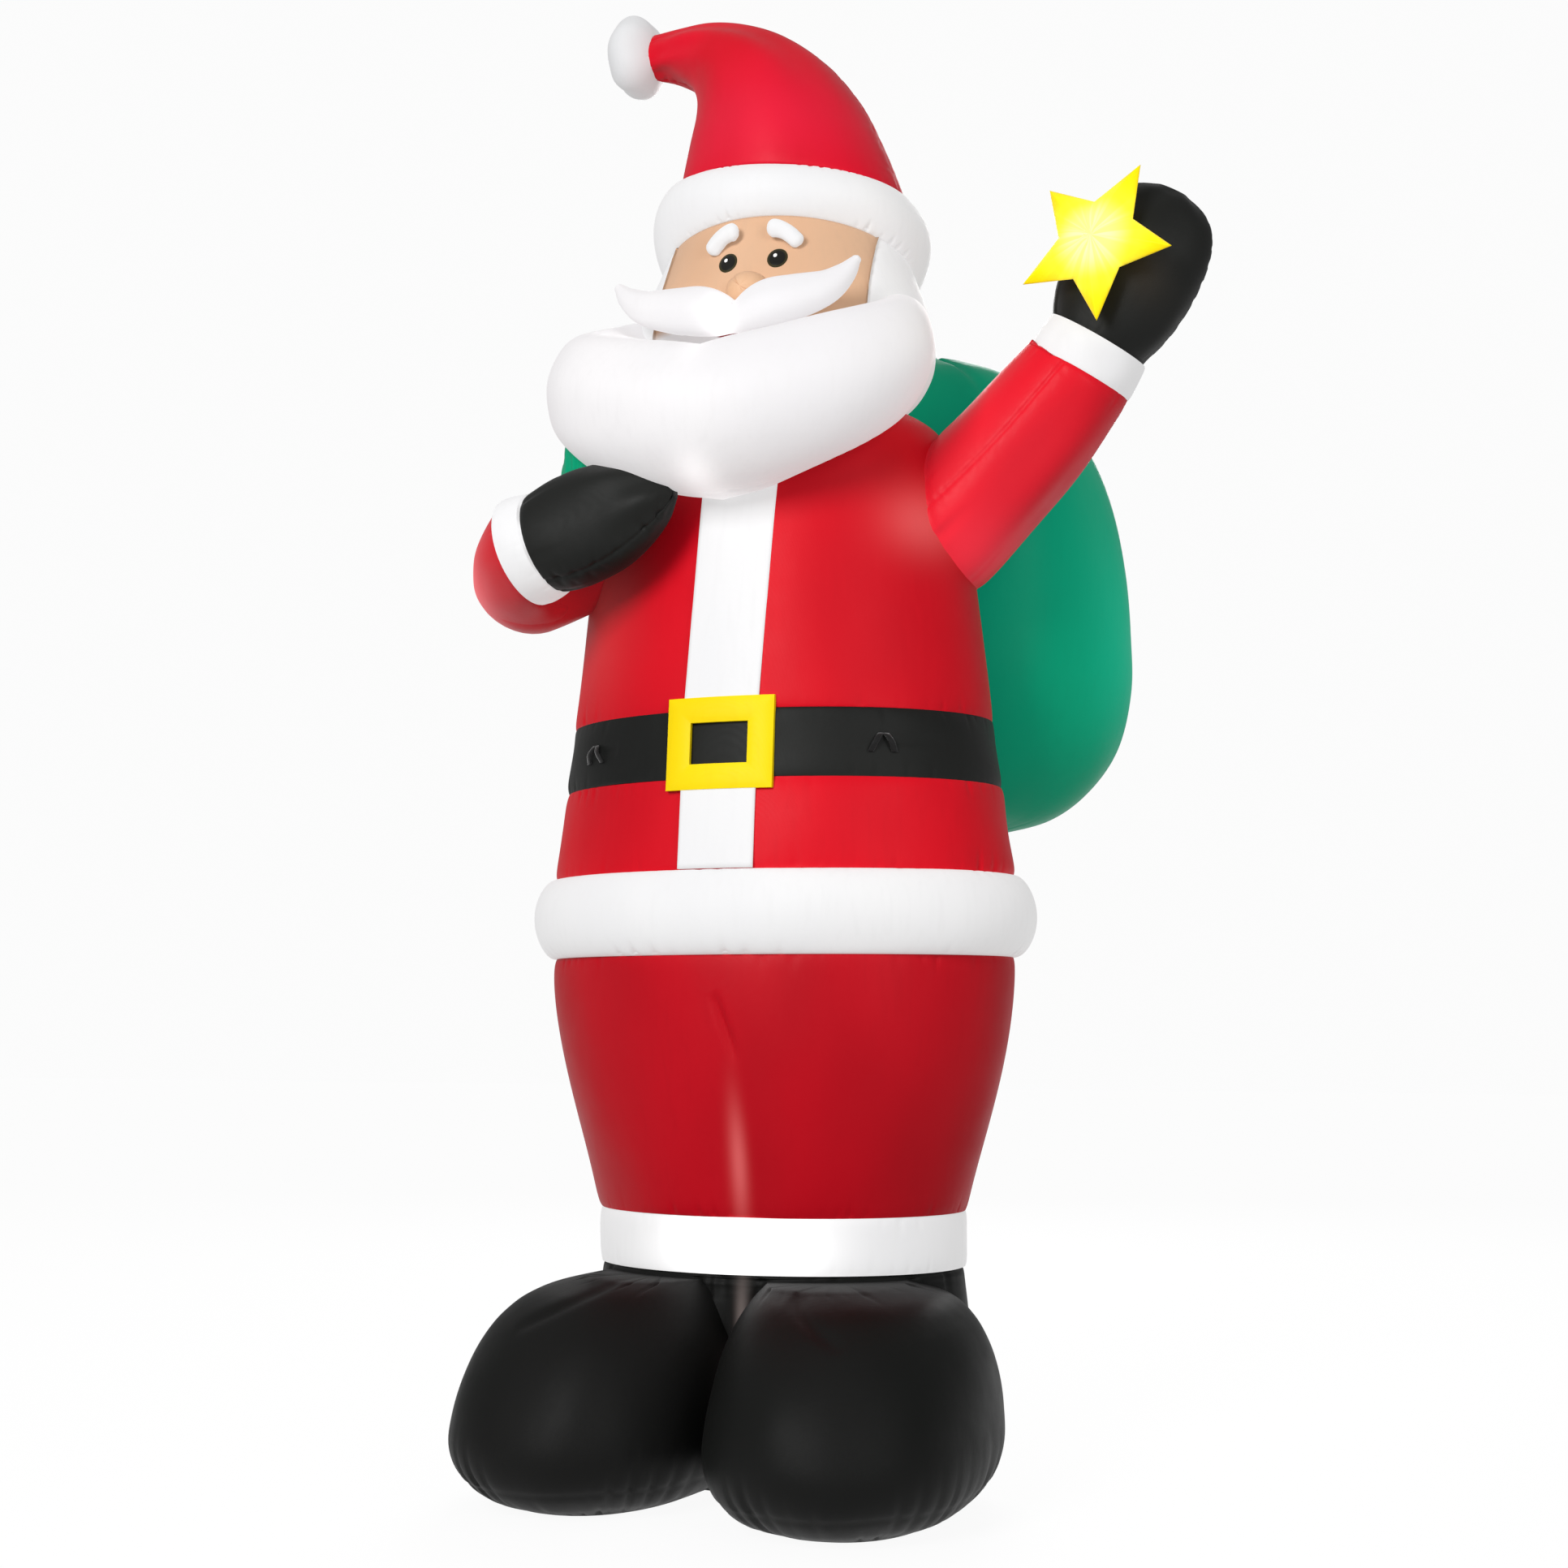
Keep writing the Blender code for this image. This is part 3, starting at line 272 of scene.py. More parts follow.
def panel_seam(grid, angle, seed, depth=0.003, width=0.005, size=0.0015):
    """A sewn line along the chamber at one angle, with small puckers across it."""
    angles = turns(grid.shape[1])
    away = np.abs((angles - angle + pi) % (2 * pi) - pi)
    radius = girth(grid) / (2 * pi)
    distance = np.broadcast_to(away * radius, grid.shape[:2])
    along = from_first(grid)
    rng = np.random.default_rng(seed)
    made = -depth * np.exp(-((distance / width) ** 2))
    ripple = np.zeros(grid.shape[:2])
    for wavelength in rng.uniform(0.02, 0.07, 14):
        way = rng.uniform(-0.6, 0.6)
        ripple += np.cos(2 * pi * (along + way * distance) / wavelength + rng.uniform(0, 6.28))
    return made - size * np.clip(ripple / 2.6, 0, None) * np.exp(-distance / 0.022)


def panel_seams(grid, angles, seed, *sizes):
    return sum(panel_seam(grid, angle, seed + k, *sizes) for k, angle in enumerate(angles))


# Meshes
def quads(rows, columns, closed=True):
    """Faces between neighbouring points of a grid, whose rows may close on themselves."""
    here = np.arange(columns if closed else columns - 1)
    after = (here + 1) % columns
    start = np.arange(rows - 1)[:, None] * columns
    corners = (start + here, start + after, start + columns + after, start + columns + here)
    return np.stack(corners, axis=2).reshape(-1, 4).tolist()


def skin(name, grid, look, *nodes):
    """A closed surface through a grid of rings, which may stand for a CAD node."""
    count, sides = grid.shape[:2]
    faces = quads(count, sides)
    last = (count - 1) * sides
    for i in range(sides):
        j = (i + 1) % sides
        faces.append([j, i, count * sides])
        faces.append([last + i, last + j, count * sides + 1])
    points = np.vstack([grid.reshape(-1, 3), grid[0].mean(axis=0), grid[-1].mean(axis=0)])
    return finished(name, points, faces, look, nodes)


def cover(node_name, grid, look):
    """The fabric of one CAD node."""
    return skin(node_name + "_fabric", grid, look, node_name)


def finished(name, points, faces, look, nodes):
    material, slot = LOOKS[look]
    mesh = bpy.data.meshes.new(name)
    mesh.from_pydata([tuple(p) for p in points], [], faces)
    mesh.update()
    outward(mesh)
    mesh.shade_smooth()
    mesh.materials.append(material)
    obj = bpy.data.objects.new(name, mesh)
    bpy.context.scene.collection.objects.link(obj)
    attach(obj, "root")
    if nodes:
        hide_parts(*nodes)
    return obj


def outward(mesh):
    """Turns a closed mesh's faces out, by the sign of its volume."""
    points = np.zeros(len(mesh.vertices) * 3)
    mesh.vertices.foreach_get("co", points)
    points = points.reshape(-1, 3) - points.reshape(-1, 3).mean(axis=0)
    mesh.calc_loop_triangles()
    corners = np.zeros(len(mesh.loop_triangles) * 3, int)
    mesh.loop_triangles.foreach_get("vertices", corners)
    a, b, c = (points[corners.reshape(-1, 3)[:, i]] for i in range(3))
    if (a * np.cross(b, c)).sum() < 0:
        mesh.flip_normals()
        mesh.update()


def surface_of(grid):
    """A surface that flat panels are laid on."""
    return BVHTree.FromPolygons([tuple(p) for p in grid.reshape(-1, 3)], quads(*grid.shape[:2]))


def laid(tree, x, z, proud=0.0):
    """The point of a surface straight behind (x, z), lifted off it by proud."""
    hit, normal, _, _ = tree.ray_cast(Vector((x, -3, z)), Vector((0, 1, 0)))
    if hit is None:
        hit, normal, _, _ = tree.find_nearest(Vector((x, -0.4, z)))
    if normal.y > 0:
        normal = -normal
    return np.array(hit + normal * proud)


def slab(name, top, back, look, *nodes, closed=False):
    """A closed panel between a grid of points on its face and the same grid set back."""
    down, across = top.shape[:2]
    shift = down * across
    front = quads(down, across, closed)
    faces = front + [[shift + corner for corner in reversed(face)] for face in front]
    index = np.arange(shift).reshape(down, across)
    rims = [np.concatenate([index[0], index[1:, -1], index[-1, -2::-1], index[-2:0:-1, 0]])]
    if closed:
        rims = [index[0], index[-1, ::-1]]
    for rim in rims:
        rim = rim.tolist()
        faces += [[a, a + shift, b + shift, b] for a, b in zip(rim, rim[1:] + rim[:1])]
    return finished(name, np.vstack([top.reshape(-1, 3), back.reshape(-1, 3)]), faces, look, nodes)


def sheet_piece(name, top, thick, look, *nodes):
    """A thin panel, set back by its thickness square to its face."""
    facing = np.cross(np.gradient(top, axis=1), np.gradient(top, axis=0))
    facing /= np.linalg.norm(facing, axis=2)[..., None] + 1e-12
    if facing[top.shape[0] // 2, top.shape[1] // 2][1] > 0:
        facing = -facing
    slab(name, top, top - facing * thick, look, *nodes)


# Materials
def plug(tree, made, inputs):
    """Gives a node's inputs their values, or links them to other nodes' outputs."""
    for socket, value in inputs.items():
        if isinstance(value, bpy.types.NodeSocket):
            tree.links.new(value, made.inputs[socket])
        else:
            made.inputs[socket].default_value = value


def node(tree, kind, inputs, output=0, **settings):
    """One output of a new node."""
    made = tree.nodes.new(kind)
    for key, value in settings.items():
        setattr(made, key, value)
    plug(tree, made, inputs)
    return made.outputs[output]


def math_node(tree, operation, a, b=None, clamp=False):
    inputs = {0: a} if b is None else {0: a, 1: b}
    return node(tree, "ShaderNodeMath", inputs, operation=operation, use_clamp=clamp)


def vector_node(tree, operation, a, b=(0, 0, 0), output=0):
    return node(tree, "ShaderNodeVectorMath", {0: a, 1: b}, output, operation=operation)


def object_place(tree):
    return node(tree, "ShaderNodeTexCoord", {}, "Object")


def noise(tree, place, scale, detail=3.0, stretch=(1, 1, 1)):
    stretched = node(tree, "ShaderNodeMapping", {"Vector": place, "Scale": stretch})
    return node(tree, "ShaderNodeTexNoise", {"Vector": stretched, "Scale": scale, "Detail": detail}, "Fac")


def ramp(tree, value, stops):
    made = node(tree, "ShaderNodeValToRGB", {0: value})
    shades = made.node.color_ramp
    shades.interpolation = "EASE"
    while len(shades.elements) < len(stops):
        shades.elements.new(0.5)
    for element, (at, colour) in zip(shades.elements, stops):
        element.position = at
        element.color = (*colour, 1)
    return made


def mix(tree, share, a, b):
    a, b = ((*colour, 1) if isinstance(colour, tuple) else colour for colour in (a, b))
    return node(tree, "ShaderNodeMix", {0: share, 6: a, 7: b}, 2, data_type="RGBA")


def weave(tree, place, pitch):
    """A plain weave: threads along the height and around, as crossed waves."""
    waves_of = {"Vector": place, "Scale": 1 / pitch / 3.2, "Distortion": 0.4}
    lines = [node(tree, "ShaderNodeTexWave", waves_of, "Fac", bands_direction=way) for way in "ZXY"]
    return math_node(tree, "MULTIPLY", lines[0], math_node(tree, "ADD", lines[1], lines[2]))


def bump(tree, height, distance, strength, before=None):
    inputs = {"Height": height, "Distance": distance, "Strength": strength}
    if before is not None:
        inputs["Normal"] = before
    return node(tree, "ShaderNodeBump", inputs)


def glow(tree, place, painted_glows):
    """Painted glow: how much of the lamps inside shows through the fabric, and painted highlights and light set the
    same way; it falls away from each place.
    """
    total = None
    for at, reach, strength in painted_glows:
        shape = vector_node(tree, "DIVIDE", vector_node(tree, "SUBTRACT", place, at), reach)
        squared = math_node(tree, "POWER", vector_node(tree, "LENGTH", shape, output="Value"), 2)
        fall = math_node(tree, "EXPONENT", math_node(tree, "MULTIPLY", squared, -1))
        lit = math_node(tree, "MULTIPLY", fall, strength)
        total = lit if total is None else math_node(tree, "ADD", total, lit)
    return total


def polyester(
    name, slot, colour, shade, roughness=0.46, sheen=0.02, painted_glows=(), painted_glow_colour=(1, 1, 1), painted_inner_light=0.0,
    specular=0.11, printed=(),
):
    """Thin coated polyester: a fine weave, slubs, soft wrinkles, uneven colour, and a painted glow as of light from
    inside.
    """
    material = bpy.data.materials.new(name)
    material.use_nodes = True
    tree = material.node_tree
    shader = tree.nodes["Principled BSDF"]
    place = object_place(tree)
    clouds = noise(tree, place, 2.3, 2.0, (1, 1, 0.5))
    threads = noise(tree, place, 60, 4.0, (1, 1, 0.12))
    base = mix(tree, ramp(tree, clouds, ((0.32, (0, 0, 0)), (0.7, (1, 1, 1)))), colour, shade)
    deeper = tuple(0.88 * c for c in colour)
    shaded = mix(tree, ramp(tree, threads, ((0.45, (0, 0, 0)), (0.75, (0.35, 0.35, 0.35)))), base, deeper)
    for mark, mark_colour in printed:
        over_edge = math_node(tree, "SUBTRACT", glow(tree, place, (mark,)), 0.3)
        shaded = mix(tree, math_node(tree, "MULTIPLY", over_edge, 6, clamp=True), shaded, mark_colour)
    fine = bump(tree, weave(tree, place, 0.0016), 0.0003, 0.25)
    wrinkles = bump(tree, noise(tree, place, 26, 4.0, (1, 1, 0.45)), 0.0022, 0.22, fine)
    folds = bump(tree, noise(tree, place, 6, 2.0, (1, 1, 0.3)), 0.01, 0.2, wrinkles)
    uneven = math_node(tree, "MULTIPLY", noise(tree, place, 11, 3.0), 0.14)
    rough = math_node(tree, "ADD", uneven, roughness - 0.07)
    plug(tree, shader, {"Base Color": shaded, "Normal": folds, "Roughness": rough})
    shader.inputs["Sheen Weight"].default_value = sheen
    shader.inputs["Sheen Roughness"].default_value = 0.45
    shader.inputs["Specular IOR Level"].default_value = specular
    # Painted glow: emission in the fabric, as of the light inside it
    if painted_glows or painted_inner_light:
        lit = math_node(tree, "ADD", glow(tree, place, painted_glows), painted_inner_light) if painted_glows else painted_inner_light
        plug(tree, shader, {"Emission Color": (*painted_glow_colour, 1), "Emission Strength": lit})
    return material, slot


RED = (0.66, 0.002, 0.012)
RED_SHADE = (0.52, 0.001, 0.009)
# Painted shade: the trousers are the coat's red fabric, made darker for the shade on the lower body
SHADED_TROUSER_RED = (0.49, 0.001, 0.009)
TROUSER_SHADE = (0.38, 0.001, 0.007)
HAT_RED = (0.7, 0.001, 0.018)
STAR_TIP_SHADE = (0.74, 0.54, 0.0)
BUCKLE = (0.88, 0.66, 0.0)
BUCKLE_SHADE = (0.8, 0.57, 0.0)
# The whites are dim here: most of their brightness is the painted glow of white_polyester
WHITE = (0.42, 0.42, 0.426)
WHITE_SHADE = (0.375, 0.378, 0.39)
BLACK = (0.0095, 0.01, 0.009)
BLACK_SHADE = (0.005, 0.0055, 0.005)
BOOT_BLACK = (0.0065, 0.0065, 0.0062)
YELLOW = (1.0, 0.8, 0.0)
YELLOW_SHADE = (0.96, 0.7, 0.0)
GREEN = (0.0, 0.3, 0.145)
GREEN_SHADE = (0.0, 0.24, 0.115)
SKIN = (0.665, 0.425, 0.275)
SKIN_SHADE = (0.61, 0.365, 0.225)

# Studio: how bright the surroundings are to the camera, and as light from above and below
WHITE_WALL = 0.97
LIGHT_FROM_ABOVE = 0.46
LIGHT_FROM_BELOW = 0.3

# Printed on the face under the moustache: place, reach each way and strength
CHIN = ((-0.16, -0.2, 2.66), (0.26, 0.4, 0.115), 1.0)
MOUTH = ((0.006, -0.27, 2.732), (0.052, 0.3, 0.022), 1.0)

# Painted glows, as of lamps inside the figure showing through the fabric: place, reach each way and strength
BASE_LAMP = ((0.03, -0.35, 0.56), (0.17, 0.3, 0.09), 0.9)
# Painted reflection: a narrow bright streak between the boots
BOOT_PAINTED_STREAK = ((0.03, -0.36, 0.41), (0.016, 0.3, 0.1), 0.12)
# Painted highlight: a soft bright streak down the trousers' front valley
TROUSER_PAINTED_HIGHLIGHT = ((0.03, -0.38, 0.76), (0.02, 0.3, 0.13), 0.22)
CHEST_LAMP = ((0.43, -0.2, 2.27), (0.08, 0.2, 0.08), 0.18)
SIDE_LAMP = ((-0.36, -0.25, 2.02), (0.12, 0.2, 0.16), 0.05)
MOUTH_LAMP = ((0.0, -0.42, 2.72), (0.035, 0.2, 0.1), 0.35)
BEARD_LAMP = ((0.0, -0.45, 2.34), (0.05, 0.2, 0.045), 0.3)
HAT_LAMP = ((0.0, -0.2, 3.3), (0.24, 0.3, 0.16), 0.09)
# Painted highlight: a pinkish bright patch that lightens the bent sleeve's lower side
ELBOW_PAINTED_HIGHLIGHT = ((-0.71, -0.32, 2.18), (0.12, 0.3, 0.16), 0.52)
# Painted light that brightens the raised sleeve's underside
SLEEVE_PAINTED_LIGHTS = (
    ((0.62, -0.12, 2.45), (0.18, 0.2, 0.16), 0.1),
    ((0.52, -0.12, 2.2), (0.16, 0.2, 0.12), 0.3),
)
# Painted light: the star's glow falling on the mitten
MITTEN_PAINTED_STARLIGHT = ((0.955, -0.12, 2.82), (0.05, 0.2, 0.06), 0.01)
# Painted light on the sack's right side, in place of a light from that side
SACK_PAINTED_SIDE_LIGHTS = (
    ((0.78, 0.6, 2.05), (0.1, 0.5, 0.42), 0.3),
    ((0.5, 0.4, 2.35), (0.4, 0.6, 0.6), 0.1),
)


# Body
CHEST_CURVE = [  # share of the height, share of the half width
    (0, 1), (0.36, 0.937), (0.66, 0.88), (0.85, 0.8), (0.94, 0.66), (0.985, 0.44), (1, 0.25),
]


def body_profile(z):
    """Half of the body's width at each height."""
    t = np.clip((z - TROUSER_LOW) / (HEM_LOW - TROUSER_LOW), 0, 1)
    legs = CUFF_HALF + (HIP_HALF - CUFF_HALF) * np.sin(t * pi / 2) ** 1.15
    skirt = np.interp(z, (SKIRT_LOW, BELT_LOW, CHEST_LOW), (HIP_HALF, BELT_HALF, CHEST_HALF))
    chest_rows = smooth(CHEST_CURVE, 80)
    chest = CHEST_HALF * np.interp((z - CHEST_LOW) / CHEST_HEIGHT, chest_rows[:, 0], chest_rows[:, 1])
    return np.where(z < HEM_LOW, legs, np.where(z < CHEST_LOW, skirt, chest))


def body_grid(z_from, z_to, count, extra=None):
    heights = z_from + (z_to - z_from) * spread(count)
    halves = body_profile(heights)
    if extra is not None:
        halves = halves + extra((heights - z_from) / (z_to - z_from))
    angles = turns(BIG)
    return np.array([ring((0, 0, z), (w, 0, 0), (0, w * FLATNESS, 0), angles) for z, w in zip(heights, halves)])


def seamed(grid, seed, size=0.004, tuck=0.004, swell=0.003, ends=(1.0, 1.0), wavelength=(0.022, 0.09)):
    """A chamber's fabric with tucked, puckered seams at both ends and soft billows between."""
    first, last = from_first(grid), from_last(grid)
    depth = tucked(first, tuck) + tucked(last, tuck)
    depth = depth + puckers(grid, first, seed, size * ends[0], wavelength)
    depth = depth + puckers(grid, last, seed + 7, size * ends[1], wavelength)
    return raised(grid, depth + billows(grid, seed + 20, swell))


def front_dent(grid, x, z, wide, tall, depth):
    """A dent in the figure's front, as depths on a grid."""
    near = np.exp(-(((grid[..., 0] - x) / wide) ** 2) - ((grid[..., 2] - z) / tall) ** 2)
    return np.where(grid[..., 1] < 0, -depth * near, 0.0)


def crease(grid, start, end, wide, depth):
    """A straight sharp crease in the front, between two (x, z) points, that fades at its ends."""
    start, end = np.array(start), np.array(end)
    way = end - start
    at = grid[..., [0, 2]] - start
    share = (at @ way) / (way @ way)
    inside = np.clip(share, 0, 1)
    off = np.linalg.norm(at - inside[..., None] * way, axis=2)
    fade = np.sin(pi * np.clip(share, 0.0, 1.0)) ** 0.5
    return np.where(grid[..., 1] < 0, -depth * np.exp(-((off / wide) ** 2)) * fade, 0.0)


def make_body():
    """The tube from the cuff to the shoulders; gives the surface that the front's panels lie on."""
    trousers = body_grid(TROUSER_LOW, HEM_LOW, 64)
    valley = front_dent(trousers, 0.03, 0.8, 0.055, 0.2, 0.012)
    dart = crease(trousers, (-0.005, 1.15), (0.045, 1.0), 0.008, 0.012)
    cover("trousers", seamed(raised(trousers, valley + dart), 3, 0.003), "trousers")

    cuff = body_grid(CUFF_LOW, TROUSER_LOW, 26)
    cover("trouser_cuff", seamed(cuff, 11, 0.0022, 0.005, 0.002), "white")

    hem = body_grid(HEM_LOW, SKIRT_LOW, 44, lambda t: HEM_BULGE * np.sin(pi * t) ** 0.55)
    cover("coat_hem", seamed(hem, 17, 0.005, 0.001, 0.002, (1.2, 0.5), (0.016, 0.06)), "white")

    cover("coat_skirt", seamed(body_grid(SKIRT_LOW, BELT_LOW, 30), 23, 0.0028), "red")

    belt = body_grid(BELT_LOW, CHEST_LOW, 26)
    z = (BELT_LOW + CHEST_LOW) / 2 + 0.01
    for side, tilt in ((1, 0.11), (-1, 0.08)):
        x = side * BELT_HALF * sin(radians(42))
        belt = raised(belt, crease(belt, (x - 0.01, z), (x + tilt, z - 0.004), 0.006, 0.006))
    cover("belt", seamed(belt, 29, 0.0022), "black")

    chest = body_grid(CHEST_LOW, NECK, 84)
    cover("coat_chest", seamed(chest, 37, 0.003, swell=0.0035, ends=(1.0, 0.3)), "red")
    return surface_of(body_grid(SKIRT_LOW, NECK, 90)[:, ::4])


def make_front_band(node_name, z_from, z_to, top_left, tree, look):
    """A white strip sewn down the front, its upper end set to the left by top_left."""
    across, down = 25, max(12, int((z_to - z_from) / STRIP_STEP))
    top = np.zeros((down, across, 3))
    for i in range(down):
        v = i / (down - 1)
        for j in range(across):
            x = STRIP_HALF_WIDTH * (2 * j / (across - 1) - 1) + top_left * v
            top[i, j] = laid(tree, x, z_from + (z_to - z_from) * v, STRIP_PROUD)
    sheet_piece(node_name + "_fabric", top, STRIP_THICK, look, node_name)


def make_buckle(tree, look):
    """The yellow square frame as one closed panel around its window."""
    lo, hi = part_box("belt_buckle")
    outer, window = (
        np.array([(lo.x + w, lo.z + w), (hi.x - w, lo.z + w), (hi.x - w, hi.z - w), (lo.x + w, hi.z - w)])
        for w in (0, BUCKLE_FRAME)
    )
    per_side, deep = 28, 9
    grid = np.zeros((deep, 4 * per_side, 3))
    for side in range(4):
        for i in range(per_side):
            t = i / per_side
            a, b = (line[side] * (1 - t) + line[(side + 1) % 4] * t for line in (outer, window))
            for j in range(deep):
                share = j / (deep - 1)
                x, z = a * (1 - share) + b * share
                puffy = 0.004 * sin(pi * share) ** 0.7
                grid[j, side * per_side + i] = laid(tree, x, z, BUCKLE_THICK + puffy)
    back = grid + vec(0, BUCKLE_THICK, 0)
    buckle = slab("belt_buckle_fabric", grid, back, look, "belt_buckle", closed=True)
    buckle.data.set_sharp_from_angle(angle=radians(50))


def make_tether_tab(node_name, tree, look):
    """A short ribbon sewn on the belt at its fold, its two tails hanging apart."""
    lo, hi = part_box(node_name)
    x, z = (lo.x + hi.x) / 2, (lo.z + hi.z) / 2
    for way, ending, nodes in ((-1, "_ribbon_tail", (node_name,)), (1, "_ribbon_other_tail", ())):
        top = np.zeros((9, 5, 3))
        for i, t in enumerate(np.linspace(0, 1, 9)):
            middle = x + way * (0.004 + 0.02 * t**0.8)
            off = 0.004 + 0.008 * sin(pi * min(t * 1.1, 1))
            for j, share in enumerate(np.linspace(-1, 1, 5)):
                off_here = off + 0.0012 * (1 - share**2)
                top[i, j] = laid(tree, middle + 0.0065 * share, z + 0.02 - 0.044 * t, off_here)
        sheet_piece(node_name + ending, top, 0.0015, look, *nodes)


# Boots
BOOT_HALF_WIDTH = 0.318
BOOT_HALF_LENGTH = 0.47
BOOTS_MEET = 0.015
FOOT_SEAM = 0.065
BOOT_RINGS = [  # share of the height, of the half width and half length, how far back and inward
    (0, 0.58, 0.63, 0, 0), (0.06, 0.78, 0.81, 0, 0), (0.16, 0.93, 0.94, 0, 0),
    (0.29, 1, 1, 0, 0), (0.44, 0.99, 0.985, 0.01, 0), (0.59, 0.95, 0.93, 0.03, 0),
    (0.73, 0.89, 0.85, 0.06, 0.01), (0.85, 0.8, 0.75, 0.1, 0.03), (0.94, 0.68, 0.63, 0.15, 0.08),
    (1, 0.48, 0.46, 0.22, 0.22),
]
SHAFT_RINGS = [(0, 0.78), (0.08, 0.93), (0.3, 1.033), (CUFF_LOW - 0.03, 1.012), (CUFF_LOW, 1)]


def boot_grid(name, side):
    """One boot: rings of a superellipse stacked from the flat sole to the instep."""
    rows = smooth(BOOT_RINGS, 72)
    rows[:, 0] = np.clip(rows[:, 0], 0, 1)
    turn = side * radians(5)
    length = vec(sin(turn), -cos(turn), 0) * BOOT_HALF_LENGTH
    width = vec(cos(turn), sin(turn), 0) * BOOT_HALF_WIDTH
    middle = vec(BOOTS_MEET + side * (BOOT_HALF_WIDTH - 0.014), -0.345 - side * 0.02, 0)
    rings = []
    for z, w, deep, back, inward in rows:
        centre = middle - length * back - side * width * inward + vec(0, 0, high(name).z * z)
        rings.append(ring(centre, width * w, length * deep, turns(MIDDLE), 2.25))
    return np.array(rings)


def make_boots():
    for name, side, seams in (("left_boot", 1, (4.05, 5.35)), ("right_boot", -1, (4.55, 5.6))):
        grid = boot_grid(name, side)
        first = from_first(grid)
        depth = puckers(grid, first, 41 + side, 0.013, (0.026, 0.1), 1.2) + billows(grid, 60 + side, 0.004)
        depth += puckers(grid, from_last(grid), 51 + side, 0.006, (0.05, 0.2), 0.5)
        depth += crease(grid, (side * 0.4, 0.4), (side * 0.22, 0.49), 0.012, 0.008)
        depth += panel_seams(grid, seams, 70, 0.0035, 0.006, 0.0022)
        foot_seam = np.abs(grid[..., 2] - FOOT_SEAM)
        depth += puckers(grid, foot_seam, 47 + side, 0.0065, (0.018, 0.06), 1.3) + tucked(foot_seam, 0.003, 0.006)
        grid = raised(grid, depth * np.clip(first / 0.02, 0, 1))
        inner = BOOTS_MEET + side * 0.0004
        grid[..., 0] = np.where(grid[..., 0] * side < inner * side, inner, grid[..., 0])
        grid[..., 2] = np.maximum(grid[..., 2], 0.0)
        cover(name, grid, "boot")

    angles = turns(BIG)
    rows = [(z, SHAFT_HALF * share) for z, share in smooth(SHAFT_RINGS, 60)]
    shaft = np.array([ring((0, 0, z), (w, 0, 0), (0, w * FLATNESS, 0), angles) for z, w in rows])
    last = from_last(shaft)
    depth = puckers(shaft, last, 83, 0.006, (0.05, 0.2), 0.8) + tucked(last)
    depth += front_dent(shaft, 0.0, 0.3, 0.02, 0.14, 0.02)
    for top, foot in ((-0.085, -0.015), (0.08, 0.01)):
        depth += crease(shaft, (top, 0.5), (foot, 0.27), 0.01, 0.016)
    folds = np.sin(2 * pi * shaft[..., 2] / 0.021 + 1.3 * np.sin(3 * angles))
    depth += 0.0022 * folds * (shaft[..., 2] > 0.45) * (0.5 + 0.5 * np.cos(2 * angles + 2.2))
    shaft = raised(shaft, depth + panel_seams(shaft, (4.6, 4.85), 90, 0.004, 0.005, 0.002))
    shaft[..., 2] = np.maximum(shaft[..., 2], 0.0)
    cover("boot_shaft", shaft, "boot")


# Head
HEAD_RINGS = [  # share of the height, of the half width and of the half depth
    (0, 0.8, 0.76), (0.12, 1.02, 0.92), (0.3, 1.13, 1), (0.48, 1.14, 1.03), (0.66, 1.09, 1.02),
    (0.84, 1.01, 0.98), (1, 0.93, 0.95),
]


def head_ring(share, wide, deep, angles):
    """A ring of the head, whose front rises towards the brow."""
    z = HEAD_LOW + share * (TRIM_LOW - HEAD_LOW)
    across = (HEAD_HALF_WIDTH * wide, 0, 0)
    along = (0, HEAD_HALF_DEPTH * deep, -HEAD_HALF_DEPTH * deep * BROW_LINE_SLOPE * share)
    return ring((0, HEAD_BACK - HEAD_LEAN * (1 - share), z), across, along, angles)


def make_head():
    """The head's chamber: its skin-coloured front and its white sides and back meet in two seams."""
    whole, face, hair = [], [], []
    for share, wide, deep in smooth(HEAD_RINGS, 60):
        reach = FACE_HALF_WIDTH * (1.06 - 0.09 * share)
        left_edge, right_edge = (
            acos(min(0.96, (reach + shift) / (HEAD_HALF_WIDTH * wide))) for shift in (FACE_LEFT, -FACE_LEFT)
        )
        front = np.linspace(-pi + right_edge, -left_edge, 160)
        back = np.linspace(-left_edge, pi + right_edge, 200)
        for rings, angles in ((whole, turns(MIDDLE)), (face, front), (hair, back)):
            rings.append(head_ring(share, wide, deep, angles))
    panels = (("face", face, 101, 0.0008, -1, "skin"), ("hair", hair, 105, 0.003, 1, "white"))
    for name, rings, seed, size, back_side, look in panels:
        grid = np.array(rings)
        share = np.linspace(0, 1, grid.shape[1])
        edge_near = np.minimum(share, 1 - share) * np.linalg.norm(np.diff(grid[30], axis=0), axis=1).sum()
        up = from_first(grid)
        rng = np.random.default_rng(seed)
        ripple = sum(np.cos(2 * pi * up / w + rng.uniform(0, 6.28)) for w in rng.uniform(0.02, 0.06, 12))
        depth = tucked(edge_near, reach=0.008) - size * np.clip(ripple / 2.4, 0, None) * np.exp(-edge_near / 0.02)
        way_out = normals(grid)
        if way_out[30, grid.shape[1] // 2][1] * back_side < 0:
            way_out = -way_out
        grid += way_out * depth[..., None]
        # Closed by a wall through the chamber's axis
        wall = np.array([[(0, HEAD_BACK - HEAD_LEAN / 2, ring_points[:, 2].mean())] for ring_points in grid])
        cover(name, np.concatenate([grid, wall], axis=1), look)
    return surface_of(np.array(whole)[:, ::2])


